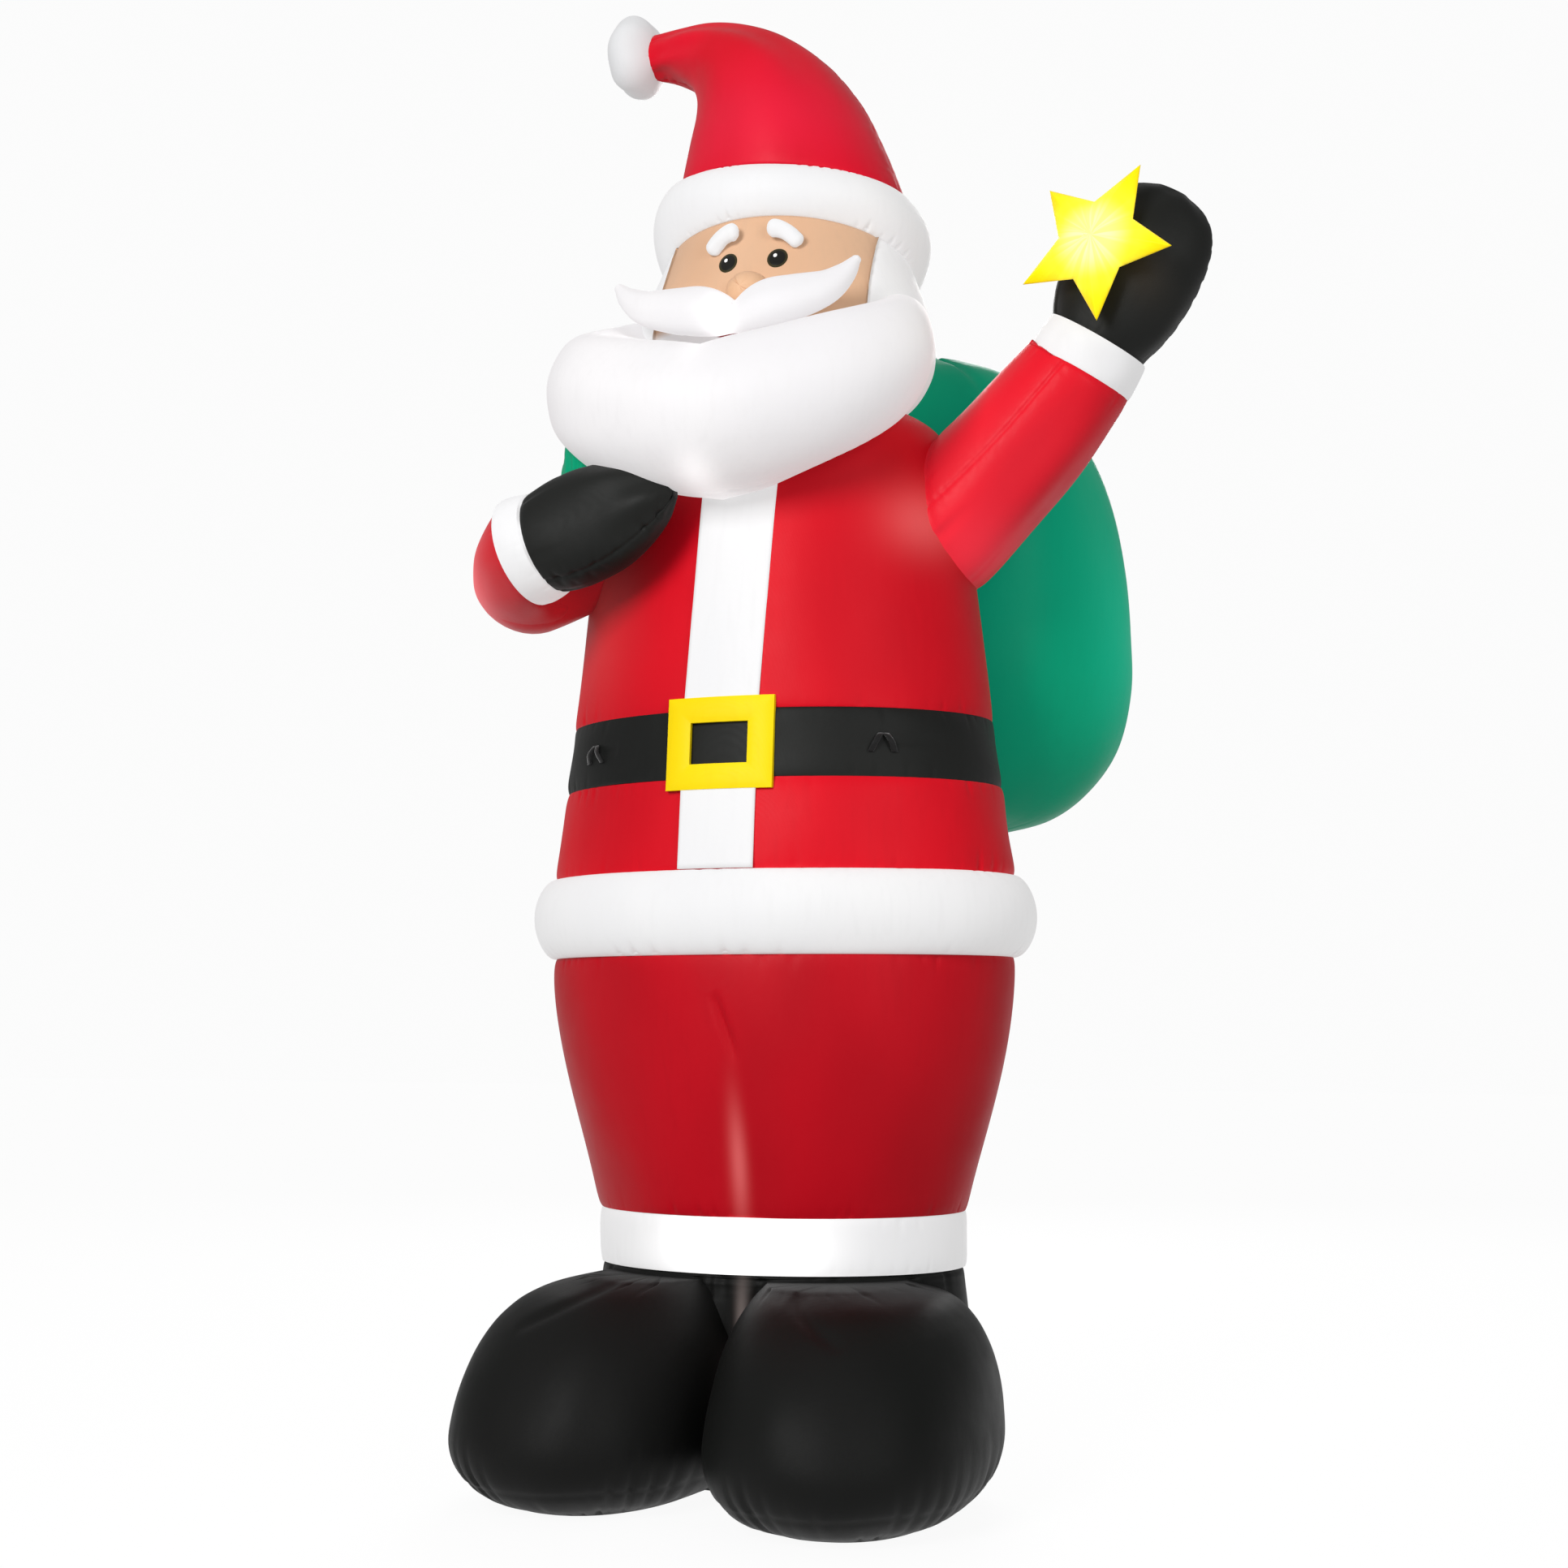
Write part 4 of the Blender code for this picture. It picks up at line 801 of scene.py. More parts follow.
def make_eyes(tree):
    for name in ("right_eye", "left_eye"):
        lo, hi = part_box(name)
        x, z = (lo.x + hi.x) / 2, (lo.z + hi.z) / 2
        disc(name + "_rim", tree, x, z, 0.0245, 0.0265, 0.0016, "eye_rim", name)
        disc(name + "_dark", tree, x, z, 0.0205, 0.0225, 0.0024, "eye")
        disc(name + "_glint", tree, x - 0.006, z + 0.007, 0.005, 0.0058, 0.003, "glint")


def disc(name, tree, x, z, half_wide, half_tall, proud, look, *nodes):
    """A small flat oval sewn on a surface."""
    rings = []
    for share, off in ((0.02, 1.0), (0.35, 1.0), (0.7, 0.95), (0.9, 0.8), (1.0, 0.35), (1.0, -0.8)):
        wide, tall = half_wide * share, half_tall * share
        rings.append([laid(tree, x + wide * cos(a), z + tall * sin(a), proud * off) for a in turns(40)])
    skin(name, np.array(rings), look, *nodes)


def make_eyebrows():
    for name, side in (("right_eyebrow", -1), ("left_eyebrow", 1)):
        rows = []
        for t in np.linspace(0, 1, 22):
            x = FACE_LEFT + side * (0.08 + 0.052 * (t - 0.5))
            z = EYE_LEVEL + 0.076 - 0.032 * t**1.8
            y = HEAD_BACK - HEAD_LEAN * 0.25 - HEAD_HALF_DEPTH * sqrt(1 - (x / HEAD_HALF_WIDTH) ** 2)
            full = 0.0225 * (1.0 - 0.12 * t)
            rows.append((x, y, z, full, full * 0.8))
        grid = tube(rows, 64, rounded=(True, True))
        depth = billows(grid, 120 + side, 0.0012, (2, 6)) + panel_seam(grid, 1.57, 3, 0.001, 0.003, 0.0012)
        brow = cover(name, raised(grid, depth), "white")


def ball(middle, axis, length, wide, roundness, trim, count, sides):
    """Rings of a ball around middle: axis and its length one way, the two vectors of wide across."""
    rings = []
    for angle in np.linspace(-pi / 2 * trim, pi / 2 * trim, count):
        full = abs(cos(angle)) ** roundness
        centre = middle + np.array(axis) * length * sin(angle)
        rings.append(ring(centre, *(np.array(vector) * full for vector in wide), turns(sides)))
    return np.array(rings)


def make_nose():
    middle = vec(FACE_LEFT, HEAD_BACK - HEAD_LEAN * 0.45 - HEAD_HALF_DEPTH, EYE_LEVEL - 0.088)
    grid = ball(middle, (0, -1, 0), 0.06, ((0.055, 0, 0), (0, 0, 0.0506)), 1, 0.98, 40, 96)
    seam_near = (1 - np.abs(np.linspace(-1, 1, 40))[:, None] * np.ones(96)) * 0.06
    creases = puckers(grid, seam_near, 131, 0.004, (0.02, 0.08), 0.8)
    cover("nose", raised(grid, creases * (grid[..., 2] > middle[2] - 0.03)), "nose")


# Beard and moustache
BEARD_ROWS = [  # degrees from the chin, then shares: reach, rise, half height and half depth
    (0, 1, 0, 1, 1), (22, 1.02, 0.08, 1.02, 1), (44, 1.11, 0.23, 0.98, 0.93),
    (64, 1.11, 0.43, 0.88, 0.83), (82, 0.955, 0.66, 0.72, 0.68), (98, 0.88, 0.86, 0.52, 0.48),
]
MOUSTACHE_ROWS = [  # shares of the half span, of the rise and of the half width
    (0, 0, 0.62), (0.15, 0.13, 0.84), (0.3, 0.25, 0.94), (0.49, 0.34, 0.88), (0.74, 0.52, 0.68),
    (0.9, 0.8, 0.44), (1, 1.1, 0.18),
]
MOUSTACHE_LEFT = 0.026


def make_beard():
    """A fat cushion that wraps the chin from ear to ear."""
    rows = smooth(BEARD_ROWS, 56)
    around = np.vstack([rows[:0:-1] * vec(-1, 1, 1, 1, 1), rows])
    radius, axis_y = 0.18, -0.1
    middle = EYE_LEVEL - 0.442
    made = []
    for degrees, reach, rise, tall, deep in around:
        angle = radians(degrees)
        out = vec(sin(angle), -cos(angle), 0)
        centre = vec(0, axis_y, middle + 0.34 * rise) + out * 0.352 * reach
        made.append((centre, vec(0, 0, 1.0) * radius * tall, out * radius * deep))
    ahead = np.gradient(np.array([centre for centre, _, _ in made]), axis=0)
    ahead /= np.linalg.norm(ahead, axis=1)[:, None]
    stations = [(*row, way, min(np.linalg.norm(row[1]), np.linalg.norm(row[2]))) for row, way in zip(made, ahead)]
    stations = domed(stations, (True, True), 14)
    grid = np.array([ring(*station[:3], turns(MIDDLE)) for station in stations])
    dip = -0.004 * np.exp(-((grid[..., 0] / 0.05) ** 2) - ((grid[..., 2] - grid[..., 2].max()) / 0.4) ** 2)
    above = np.clip((grid[..., 2] - middle) / radius, 0, 1)
    depth = billows(grid, 141, 0.004) + dip * above + panel_seam(grid, pi, 143, 0.002, 0.006, 0.0025)
    cover("beard", raised(grid, depth), "beard")


def make_moustache():
    rows = smooth(MOUSTACHE_ROWS, 44)
    middle = EYE_LEVEL - 0.177
    line = []
    for side, points in ((-1, rows[:0:-1]), (1, rows)):
        for x, rise, full in points:
            half = 0.071 * full
            across = side * 0.308 * x + MOUSTACHE_LEFT * (1 - x**2)
            line.append((across, -0.375 + 0.065 * x**2, middle + 0.118 * rise, half, half * 0.8))
    grid = tube(line, 144, flat=(0, 0.78, -0.62), rounded=(True, True))
    centre_away = np.abs(grid[..., 0] - MOUSTACHE_LEFT)
    depth = billows(grid, 151, 0.0016) + panel_seam(grid, pi / 2, 153, 0.001, 0.004, 0.0014)
    depth += puckers(grid, centre_away, 155, 0.003, (0.03, 0.12), 0.9) - 0.004 * np.exp(-((centre_away / 0.022) ** 2))
    cover("moustache", raised(grid, depth), "moustache")


# Hat
HAT_LINES = [  # the right and left side lines, as x and height above the trim, and the half thickness
    (-0.286, 0.024, 0.3, -0.024, 0.279), (-0.26, 0.135, 0.272, 0.055, 0.268),
    (-0.242, 0.215, 0.24, 0.133, 0.25), (-0.242, 0.273, 0.189, 0.233, 0.228),
    (-0.262, 0.318, 0.107, 0.34, 0.195), (-0.294, 0.346, 0.015, 0.416, 0.163),
    (-0.325, 0.364, -0.085, 0.466, 0.13), (-0.352, 0.374, -0.188, 0.495, 0.1),
    (-0.371, 0.378, -0.287, 0.5, 0.074), (-0.384, 0.381, -0.372, 0.497, 0.058),
]
POMPOM_RADIUS = 0.107


def make_trim():
    rings = []
    for t in spread(60, 1.7):
        z = TRIM_LOW + (TRIM_TOP - TRIM_LOW) * t
        bulge = 0.036 * sin(pi * t) ** 0.6
        wide = HEAD_HALF_WIDTH * 0.93 * (1 - t) + 0.3 * t + bulge + 0.012 * sin(pi * t)
        deep = HEAD_HALF_DEPTH * 0.95 * (1 - t) + 0.279 * t + bulge
        along = (0, deep, -deep * BROW_LINE_SLOPE * (1 - t))
        rings.append(ring((0, HEAD_BACK, z), (wide, 0, -0.08 * wide * t), along, turns(BIG)))
    grid = seamed(np.array(rings), 161, 0.0048, 0.001, 0.003, (1.3, 0.7), (0.01, 0.042))
    cover("hat_trim", grid, "white")


def make_hat():
    rings = []
    for right_x, right_z, left_x, left_z, thick in smooth(HAT_LINES, 110):
        right = vec(right_x, HEAD_BACK, TRIM_TOP + right_z)
        left = vec(left_x, HEAD_BACK, TRIM_TOP + left_z)
        rings.append(ring((right + left) / 2, (left - right) / 2, (0, thick, 0), turns(MIDDLE)))
    grid = np.array(rings)
    first, last = from_first(grid), from_last(grid)
    depth = tucked(first) + puckers(grid, first, 171, 0.003) + puckers(grid, last, 173, 0.003, (0.02, 0.08))
    depth += billows(grid, 175, 0.004) + panel_seams(grid, (0.0, pi), 177, 0.002, 0.005, 0.0018)
    cover("hat", raised(grid, depth), "hat")

    tip = HAT_LINES[-1]
    middle = vec(tip[0] - 0.136 * 0.38, HEAD_BACK, TRIM_TOP + (tip[1] + tip[3]) / 2 + 0.008)
    grid = ball(middle, (1, 0, 0), 0.068, ((0, POMPOM_RADIUS, 0), (0, 0, POMPOM_RADIUS)), 0.85, 0.99, 64, MIDDLE)
    depth = puckers(grid, from_last(grid), 181, 0.006, (0.016, 0.06), 1.5)
    depth += puckers(grid, from_first(grid), 183, 0.003, (0.03, 0.12), 1.0) + billows(grid, 185, 0.003)
    cover("hat_pompom", raised(grid, depth), "pompom")


# Arms
LEFT_SHOULDER = vec(0.3, 0.02, CHEST_LOW + 0.5 * CHEST_HEIGHT)
LEFT_BEND = vec(0.455, 0.01, CHEST_LOW + 0.642 * CHEST_HEIGHT)
LEFT_WRIST = vec(0.768, 0.0, CHEST_LOW + 1.028 * CHEST_HEIGHT)
LEFT_WAY = unit((0.545, -0.03, 0.84))
HAND_WAY = (0.49, -0.08, 0.868)
RIGHT_SHOULDER = vec(-0.33, 0.02, CHEST_LOW + 0.7 * CHEST_HEIGHT)
RIGHT_ELBOW = vec(-0.562, -0.272, CHEST_LOW + 0.465 * CHEST_HEIGHT)
RIGHT_WRIST = vec(-0.509, -0.432, CHEST_LOW + 0.49 * CHEST_HEIGHT)
RIGHT_WAY = unit((0.955, -0.1, 0.27))
BENT_RADIUS = 0.143
CUFF_RADIUS = 0.137
CUFF_LENGTH = 0.089
SEAM_GAP = 0.0008
LEFT_HAND = (0.39, 0.166, 0.118)  # length, half width and half thickness
RIGHT_HAND = (0.358, 0.142, 0.095)
LEFT_HAND_OUTLINE = [  # share of the length, of the half width and of the half thickness
    (0, 0.76, 1), (0.2, 0.93, 1), (0.45, 1, 1), (0.68, 0.95, 0.9), (0.84, 0.8, 0.7),
    (0.94, 0.56, 0.48), (1, 0.22, 0.2),
]
RIGHT_HAND_OUTLINE = [
    (0, 0.9, 1.2), (0.22, 0.97, 1.12), (0.48, 0.91, 1), (0.7, 0.73, 0.85), (0.88, 0.48, 0.6),
    (1, 0.18, 0.22),
]
STAR_RADIUS = 0.202
STAR_THICK = 0.11
STAR_CENTRE = LEFT_WRIST + LEFT_WAY * (CUFF_LENGTH + LEFT_HAND[0] * 0.4)
STAR_CENTRE += vec(-0.051, -0.118 - STAR_THICK * 0.36, 0.06)


def make_cuff(node_name, start, way, length, losses, seed, look):
    """A sleeve's white end, which loses these shares of its width and thickness."""
    rows = [(*(start + way * length * t), *(CUFF_RADIUS * (1 - loss * t) for loss in losses)) for t in spread(22)]
    cover(node_name, seamed(tube(rows, MIDDLE), seed, 0.0008, 0.004, 0.0012), look)


def make_mitten(node_name, start, way, hand, outline, first_way, seams, seam_depth, seed, look):
    length, half_width, half_thickness = hand
    rows = [(*(start + way * length * t), half_width * w, half_thickness * h) for t, w, h in smooth(outline, 80)]
    grid = tube(rows, MIDDLE, first=first_way)
    first = from_first(grid)
    depth = tucked(first) + puckers(grid, first, seed, 0.0045, (0.03, 0.12), 0.8) + billows(grid, seed + 2, 0.003)
    depth += panel_seams(grid, seams, seed + 4, seam_depth, 0.005, 0.0028)
    cover(node_name, raised(grid, depth), look)


def make_left_arm():
    """The raised arm."""
    root, deep = 0.19, 0.15
    midway = LEFT_BEND + (LEFT_WRIST - LEFT_BEND) * 0.48 + vec(0, 0, -0.014)
    keys = [
        (*LEFT_SHOULDER, root, deep),
        (*LEFT_BEND, root * 0.9, deep * 1.1),
        (*midway, root * 0.83, deep * 1.03),
        (*LEFT_WRIST, CUFF_RADIUS, CUFF_RADIUS),
    ]
    grid = tube(smooth(keys, 90), MIDDLE, last=LEFT_WAY)
    last, shoulder_seam = from_last(grid), np.abs(body_edge(grid))
    depth = tucked(last) + puckers(grid, last, 191, 0.003) + billows(grid, 193, 0.004)
    depth += puckers(grid, shoulder_seam, 195, 0.005, (0.04, 0.16), 0.6) + tucked(shoulder_seam, 0.006)
    depth += panel_seam(grid, -pi / 2, 197)
    cover("left_sleeve", raised(grid, depth), "sleeve")
    make_cuff("left_cuff", LEFT_WRIST, LEFT_WAY, CUFF_LENGTH, (0.03, 0.03), 201, "white")
    end = LEFT_WRIST + LEFT_WAY * CUFF_LENGTH
    make_mitten(
        "left_mitten", end, unit(HAND_WAY), LEFT_HAND, LEFT_HAND_OUTLINE, LEFT_WAY, (0.3, pi), 0.003, 211,
        "mitten",
    )


def body_edge(grid):
    """How far each point lies outside the chest's surface, measured level."""
    half = body_profile(np.clip(grid[..., 2], CHEST_LOW, NECK))
    away = np.sqrt(grid[..., 0] ** 2 + (grid[..., 1] / FLATNESS) ** 2)
    return away - half


def make_right_arm():
    """The bent arm: an upper sleeve and a forearm that meet in a rounded elbow."""
    upper = []
    for t in np.linspace(0, 1, 50):
        size = BENT_RADIUS * 1.12 - 0.018 * t
        upper.append((*(RIGHT_SHOULDER + (RIGHT_ELBOW - RIGHT_SHOULDER) * t), size, size))
    grid = tube(upper, MIDDLE, rounded=(False, True))
    shoulder_seam = np.abs(body_edge(grid))
    depth = billows(grid, 221, 0.003) + puckers(grid, shoulder_seam, 223, 0.004, (0.04, 0.16), 0.6)
    cover("right_sleeve", raised(grid, depth), "bent_sleeve")

    base = RIGHT_WRIST + RIGHT_WAY * 0.012
    line = unit(RIGHT_WRIST - RIGHT_ELBOW)
    stations = []
    for t in np.linspace(0.05, 1, 40):
        size = BENT_RADIUS - 0.018 * t
        turned = unit(line * (1 - t) + RIGHT_WAY * t)
        side = unit(np.cross((0, 0, 1), turned))
        lift = unit(np.cross(turned, side))
        stations.append((RIGHT_ELBOW + (base - RIGHT_ELBOW) * t, side * size, lift * size, turned, size))
    grid = np.array([ring(*station[:3], turns(MIDDLE)) for station in domed(stations, (True, False))])
    last = from_last(grid)
    depth = tucked(last) + puckers(grid, last, 231, 0.003) + billows(grid, 233, 0.002)
    skin("right_forearm_fabric", raised(grid, depth), "bent_sleeve")

    base = base + RIGHT_WAY * SEAM_GAP
    length = CUFF_LENGTH * 0.75
    make_cuff("right_cuff", base, RIGHT_WAY, length, (0.05, 0.07), 241, "white")
    make_mitten(
        "right_mitten", base + RIGHT_WAY * length, RIGHT_WAY, RIGHT_HAND, RIGHT_HAND_OUTLINE, None,
        (-0.55, pi - 0.2), 0.0026, 251, "mitten",
    )


def make_star():
    """A puffy five-pointed star, lit from inside."""
    inner, per_edge, deep = STAR_RADIUS * 0.5, 16, 40
    lean, turn = radians(32), radians(-15)
    corners = []
    for i in range(11):
        angle = pi * (i % 10) / 5 + lean
        corners.append((inner if i % 2 else STAR_RADIUS) * vec(sin(angle), cos(angle)))
    steps = np.arange(per_edge) / per_edge
    edge = np.array([a * (1 - t) + b * t for a, b in zip(corners, corners[1:]) for t in steps])
    reach = np.linalg.norm(edge, axis=1)
    rings = []
    for side, shares in ((-1, np.linspace(0.02, 1, deep)), (1, np.linspace(1, 0.02, deep)[1:])):
        for share in shares:
            fat = (1 - share**1.5) ** 0.75 * (0.55 + 0.45 * (inner / reach) ** 0.7)
            rings.append(np.column_stack([edge[:, 0] * share, side * STAR_THICK / 2 * fat, edge[:, 1] * share]))
    spin = np.array(Matrix.Rotation(turn, 3, Vector(HAND_WAY).normalized()))
    skin("star_fabric", np.array(rings) @ spin.T + STAR_CENTRE, "star", "star")


# Sack
SACK_HEIGHT = 1.262
SACK_RINGS = [  # share of the height, share of the half width
    (0, 0.2), (0.03, 0.5), (0.09, 0.72), (0.18, 0.89), (0.3, 0.98), (0.42, 1), (0.55, 1),
    (0.68, 0.965), (0.79, 0.885), (0.88, 0.75), (0.95, 0.55), (1, 0.25),
]


def make_sack():
    """The full sack on the back, and its gathered neck over the shoulder to the bent arm's mitten."""
    base = vec(0.235, 0.74, CHEST_LOW - 0.22)
    rings = []
    for t, w in smooth(SACK_RINGS, 120):
        lean = vec(-0.04 * t, -0.2 * t * t, SACK_HEIGHT * t)
        rings.append(ring(base + lean, (0.5 * w, 0, 0), (0, 0.4 * w, 0), turns(MIDDLE)))
    grid = np.array(rings)
    first, last = from_first(grid), from_last(grid)
    depth = puckers(grid, first, 261, 0.008, (0.05, 0.3), 0.9) + puckers(grid, last, 263, 0.012, (0.06, 0.4), 1.2)
    depth += billows(grid, 265, 0.01, (2, 8), 2) + panel_seams(grid, (0.4, 2.3, 4.2), 267, 0.0035, 0.006, 0.003)
    cover("sack", raised(grid, depth), "green")

    top = base + vec(-0.04, -0.2, SACK_HEIGHT)
    grip = RIGHT_WRIST + RIGHT_WAY * (CUFF_LENGTH + RIGHT_HAND[0] * 0.22)
    keys = [
        (top[0] - 0.05, top[1] - 0.02, top[2] - 0.16, 0.17),
        (-0.16, 0.36, NECK + 0.06, 0.125),
        (-0.353, 0.08, NECK + 0.035, 0.095),
        (-0.373, -0.24, NECK - 0.105, 0.088),
        (grip[0], grip[1] + 0.06, grip[2] + 0.05, 0.07),
    ]
    line = smooth(keys, 70)
    grid = tube(np.column_stack([line, line[:, 3]]), MIDDLE, flat=(0.3, 0.2, 1))
    angles = turns(MIDDLE)
    gather = np.clip(waves(angles, range(7, 24), 271), -1.2, 1.2) * 0.0025
    depth = np.linspace(0.2, 1.2, len(grid))[:, None] * gather
    cover("sack_neck", raised(grid, depth), "green")


# Stage
def make_stage():
    bpy.ops.mesh.primitive_plane_add(size=60, location=(0, 0, -0.0005))
    floor = bpy.context.active_object
    floor.name = "floor"
    material = bpy.data.materials.new("floor")
    material.use_nodes = True
    tree = material.node_tree
    finish = {"Base Color": (0.05, 0.05, 0.05, 1), "Roughness": 0.9, "Specular IOR Level": 0.1}
    plug(tree, tree.nodes["Principled BSDF"], {**finish, "Emission Color": (1, 1, 1, 1), "Emission Strength": 0.935})
    floor.data.materials.append(material)
    floor.visible_diffuse = False


def make_camera():
    data = bpy.data.cameras.new("camera")
    data.sensor_width = 36.0
    data.lens = 36.0 * FOCAL_PIXELS / PHOTO_SIDE
    data.clip_end = 200
    camera = bpy.data.objects.new("camera", data)
    camera.location = CAMERA_AT
    camera.rotation_euler = (pi / 2 + CAMERA_TILT, 0, CAMERA_TURN)
    bpy.context.scene.collection.objects.link(camera)
    bpy.context.scene.camera = camera


def area_light(name, place, target, size, power, colour=(1, 1, 1)):
    data = bpy.data.lights.new(name, "AREA")
    data.shape = "RECTANGLE"
    data.size, data.size_y = size
    data.energy = power
    data.color = colour
    light = bpy.data.objects.new(name, data)
    light.location = place
    light.rotation_euler = (Vector(target) - Vector(place)).to_track_quat("-Z", "Y").to_euler()
    bpy.context.scene.collection.objects.link(light)


def make_lights():
    """A white studio: the surroundings look white and give a dim even light, and soft boxes do the rest."""
    world = bpy.data.worlds.new("studio")
    bpy.context.scene.world = world
    world.use_nodes = True
    tree = world.node_tree
    height = node(tree, "ShaderNodeSeparateXYZ", {0: node(tree, "ShaderNodeTexCoord", {}, "Generated")}, "Z")
    span = {"From Min": -0.8, "From Max": 0.8, "To Min": LIGHT_FROM_BELOW, "To Max": LIGHT_FROM_ABOVE}
    dim = node(tree, "ShaderNodeMapRange", {"Value": height, **span})
    seen = node(tree, "ShaderNodeLightPath", {}, "Is Camera Ray")
    strength = node(tree, "ShaderNodeMapRange", {"Value": seen, "To Min": dim, "To Max": WHITE_WALL})
    plug(tree, tree.nodes["Background"], {"Color": (1, 1, 1, 1), "Strength": strength})
    area_light("key", (-0.9, -7.4, 4.3), (0, 0, 2.0), (2.6, 3.0), 440)
    area_light("fill", (5.6, -5.2, 3.2), (0, 0, 1.8), (2.5, 3.5), 130)
    area_light("back", (-1.5, 6.5, 5.0), (0, 0, 2.0), (4.0, 3.0), 240)
    bpy.context.scene.view_settings.view_transform = "Standard"


def white_polyester(name, painted_glows, painted_glow_colour):
    """White chambers get a strong even painted glow, as if more of the light inside came through them than through the
    coloured ones; it also lightens their shaded sides.
    """
    return polyester(name, "white_fabric", WHITE, WHITE_SHADE, 0.5, 0.02, painted_glows, painted_glow_colour, 0.445)


def star_polyester():
    """Lit from inside, as painted glow: a white middle with rays and yellow arms; the base colour darkens to amber at
    the tips, as painted shade.
    """
    centre = tuple(STAR_CENTRE)
    painted_glows = ((centre, (0.045, 0.2, 0.045), 0.55), (centre, (0.12, 0.3, 0.12), 0.28))
    made = polyester("star_polyester", "star_fabric", YELLOW, YELLOW_SHADE, 0.45, 0.1, painted_glows, painted_inner_light=0.1)
    tree = made[0].node_tree
    place = object_place(tree)
    level = vector_node(tree, "MULTIPLY", vector_node(tree, "SUBTRACT", place, centre), (1, 0, 1))
    way = vector_node(tree, "NORMALIZE", level)
    rays = ramp(tree, noise(tree, way, 5.5, 2.0), ((0.42, (0.35, 0.35, 0.35)), (0.62, (1, 1, 1))))
    near, far = (glow(tree, place, ((centre, (reach, 1.0, reach), 1.0),)) for reach in (0.13, 0.17))
    rayed = math_node(tree, "MULTIPLY", math_node(tree, "MULTIPLY", near, rays), 0.52)
    shades = ((0.2, (1, 0.74, 0.0)), (0.5, (1, 0.84, 0.08)), (0.92, (1, 0.97, 0.74)))
    outputs = {
        # Painted shade: the yellow darkens to amber away from the star's glowing middle
        "Base Color": mix(tree, far, STAR_TIP_SHADE, YELLOW),
        "Emission Color": ramp(tree, near, shades),
        "Emission Strength": math_node(tree, "ADD", rayed, 0.24),
    }
    plug(tree, tree.nodes["Principled BSDF"], outputs)
    return made


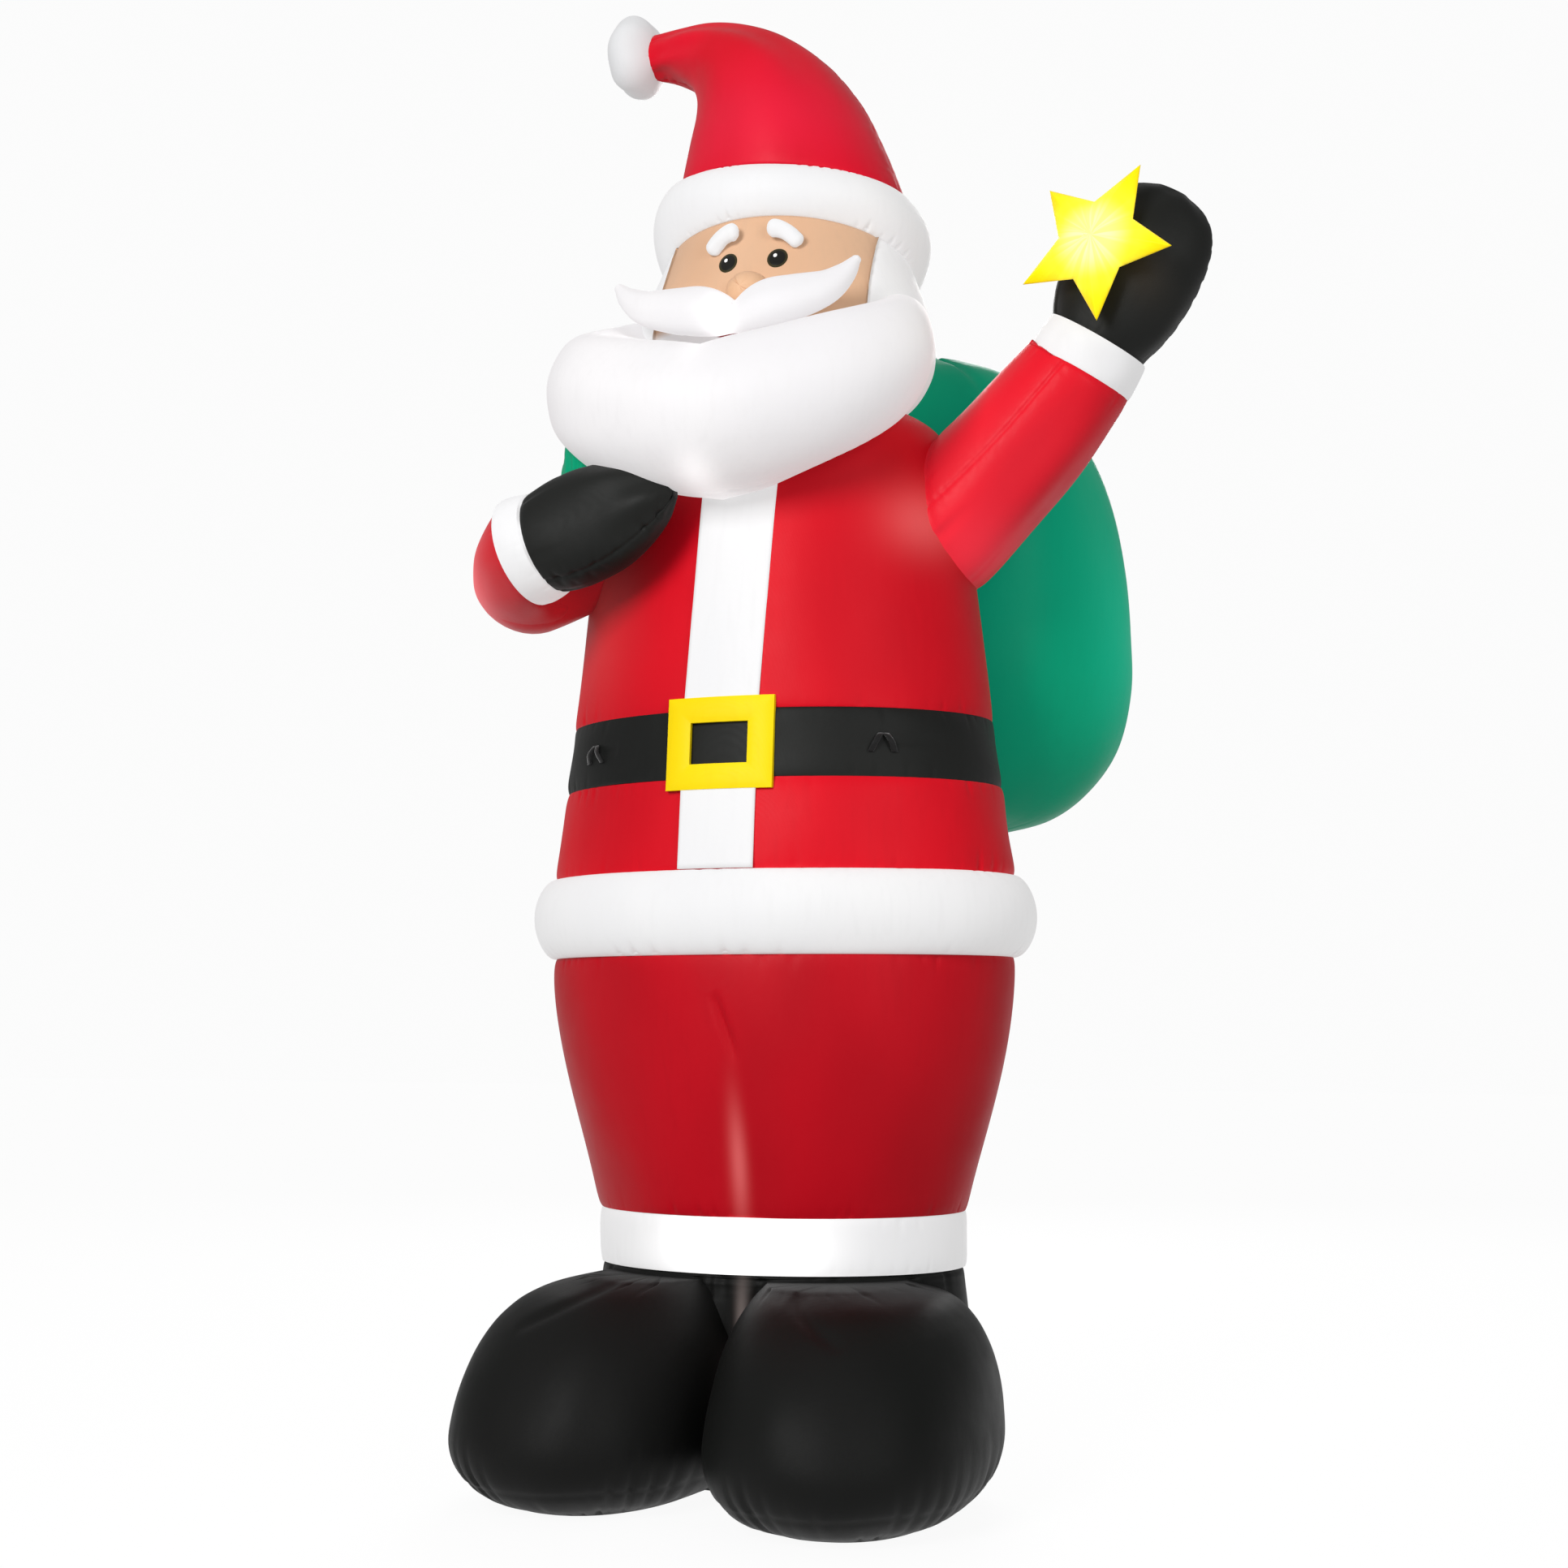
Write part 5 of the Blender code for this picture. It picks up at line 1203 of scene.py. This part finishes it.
def make_looks():
    pink, warm, amber, lit_green = (1, 0.45, 0.42), (1, 0.96, 0.965), (1, 0.8, 0.75), (0.0, 0.66, 0.42)
    black = ("black_fabric", BLACK, BLACK_SHADE, 0.5, 0.02)
    sleeve = ("red_fabric", RED, RED_SHADE)
    rows = {
        "red": ("red_polyester", *sleeve, 0.46, 0.02, (CHEST_LAMP, SIDE_LAMP), pink),
        # Trousers: the red fabric with painted shade
        "trousers": ("trouser_polyester", "red_fabric", SHADED_TROUSER_RED, TROUSER_SHADE, 0.46, 0.02, (TROUSER_PAINTED_HIGHLIGHT,), pink),
        "sleeve": ("sleeve_polyester", *sleeve, 0.4, 0.02, SLEEVE_PAINTED_LIGHTS, (1, 0.07, 0.11), 0.05),
        "bent_sleeve": ("bent_sleeve_polyester", *sleeve, 0.42, 0.02, (ELBOW_PAINTED_HIGHLIGHT,), (1, 0.26, 0.29), 0.02),
        "hat": ("hat_polyester", "red_fabric", HAT_RED, RED_SHADE, 0.46, 0.02, (HAT_LAMP,), (1, 0.12, 0.3)),
        # Pompom: the same white fabric with less painted glow, so it shows greyer
        "pompom": ("pompom_polyester", "white_fabric", WHITE, WHITE_SHADE, 0.5, 0.02, (), (1, 1, 1), 0.34),
        "black": ("black_polyester", *black, (), (1, 1, 1), 0.0, 0.14),
        "boot": ("boot_polyester", "black_fabric", BOOT_BLACK, BLACK_SHADE, 0.5, 0.0, (BOOT_PAINTED_STREAK,), amber, 0.0, 0.09),
        "mitten": ("mitten_polyester", *black, (MITTEN_PAINTED_STARLIGHT,), (1, 0.55, 0.15), 0.0, 0.14),
        "yellow": ("yellow_polyester", "yellow_fabric", BUCKLE, BUCKLE_SHADE, 0.45, 0.0, (), BUCKLE, 0.03),
        "green": ("green_polyester", "green_fabric", GREEN, GREEN_SHADE, 0.42, 0.02, SACK_PAINTED_SIDE_LIGHTS, lit_green, 0.05, 0.08),
        "skin": (
            "skin_polyester", "skin_fabric", SKIN, SKIN_SHADE, 0.48, 0.1, (), (1, 1, 1), 0.0, 0.11,
            ((CHIN, (0.86, 0.85, 0.85)), (MOUTH, (0.28, 0.03, 0.03))),
        ),
        "nose": ("nose_polyester", "skin_fabric", (0.7, 0.405, 0.225), SKIN, 0.5, 0.05),
        "eye": ("eye_print", "eye_fabric", (0.012, 0.012, 0.01), (0.008, 0.008, 0.007), 0.4, 0.05),
        "eye_rim": ("eye_rim_print", "eye_fabric", (0.035, 0.032, 0.012), (0.03, 0.026, 0.01), 0.45, 0.05),
        "glint": ("glint_print", "white_fabric", (0.92, 0.92, 0.92), (0.88, 0.88, 0.88), 0.5, 0.05),
        "ribbon": ("black_ribbon", "black_ribbon", (0.008, 0.008, 0.008), (0.005, 0.005, 0.005), 0.5, 0.3),
    }
    looks = {key: polyester(*row) for key, row in rows.items()}
    looks["white"] = white_polyester("white_polyester", (BASE_LAMP,), (1, 0.99, 0.985))
    looks["beard"] = white_polyester("beard_polyester", (BEARD_LAMP, MOUTH_LAMP), warm)
    looks["moustache"] = white_polyester("moustache_polyester", (MOUTH_LAMP,), warm)
    looks["star"] = star_polyester()
    return looks


def main():
    make_camera()
    make_lights()
    make_stage()
    LOOKS.update(make_looks())
    body = make_body()
    make_front_band("front_band", CHEST_LOW + 0.001, NECK - 0.12, STRIP_TOP_LEFT, body, "white")
    make_front_band("front_band_low", SKIRT_LOW + 0.001, BELT_LOW - 0.001, 0, body, "white")
    make_buckle(body, "yellow")
    for name in ("left_tether_tab", "right_tether_tab"):
        make_tether_tab(name, body, "ribbon")
    make_boots()
    make_eyes(make_head())
    for make in (make_eyebrows, make_nose, make_beard, make_moustache, make_trim, make_hat):
        make()
    make_left_arm()
    make_star()
    make_right_arm()
    make_sack()


main()
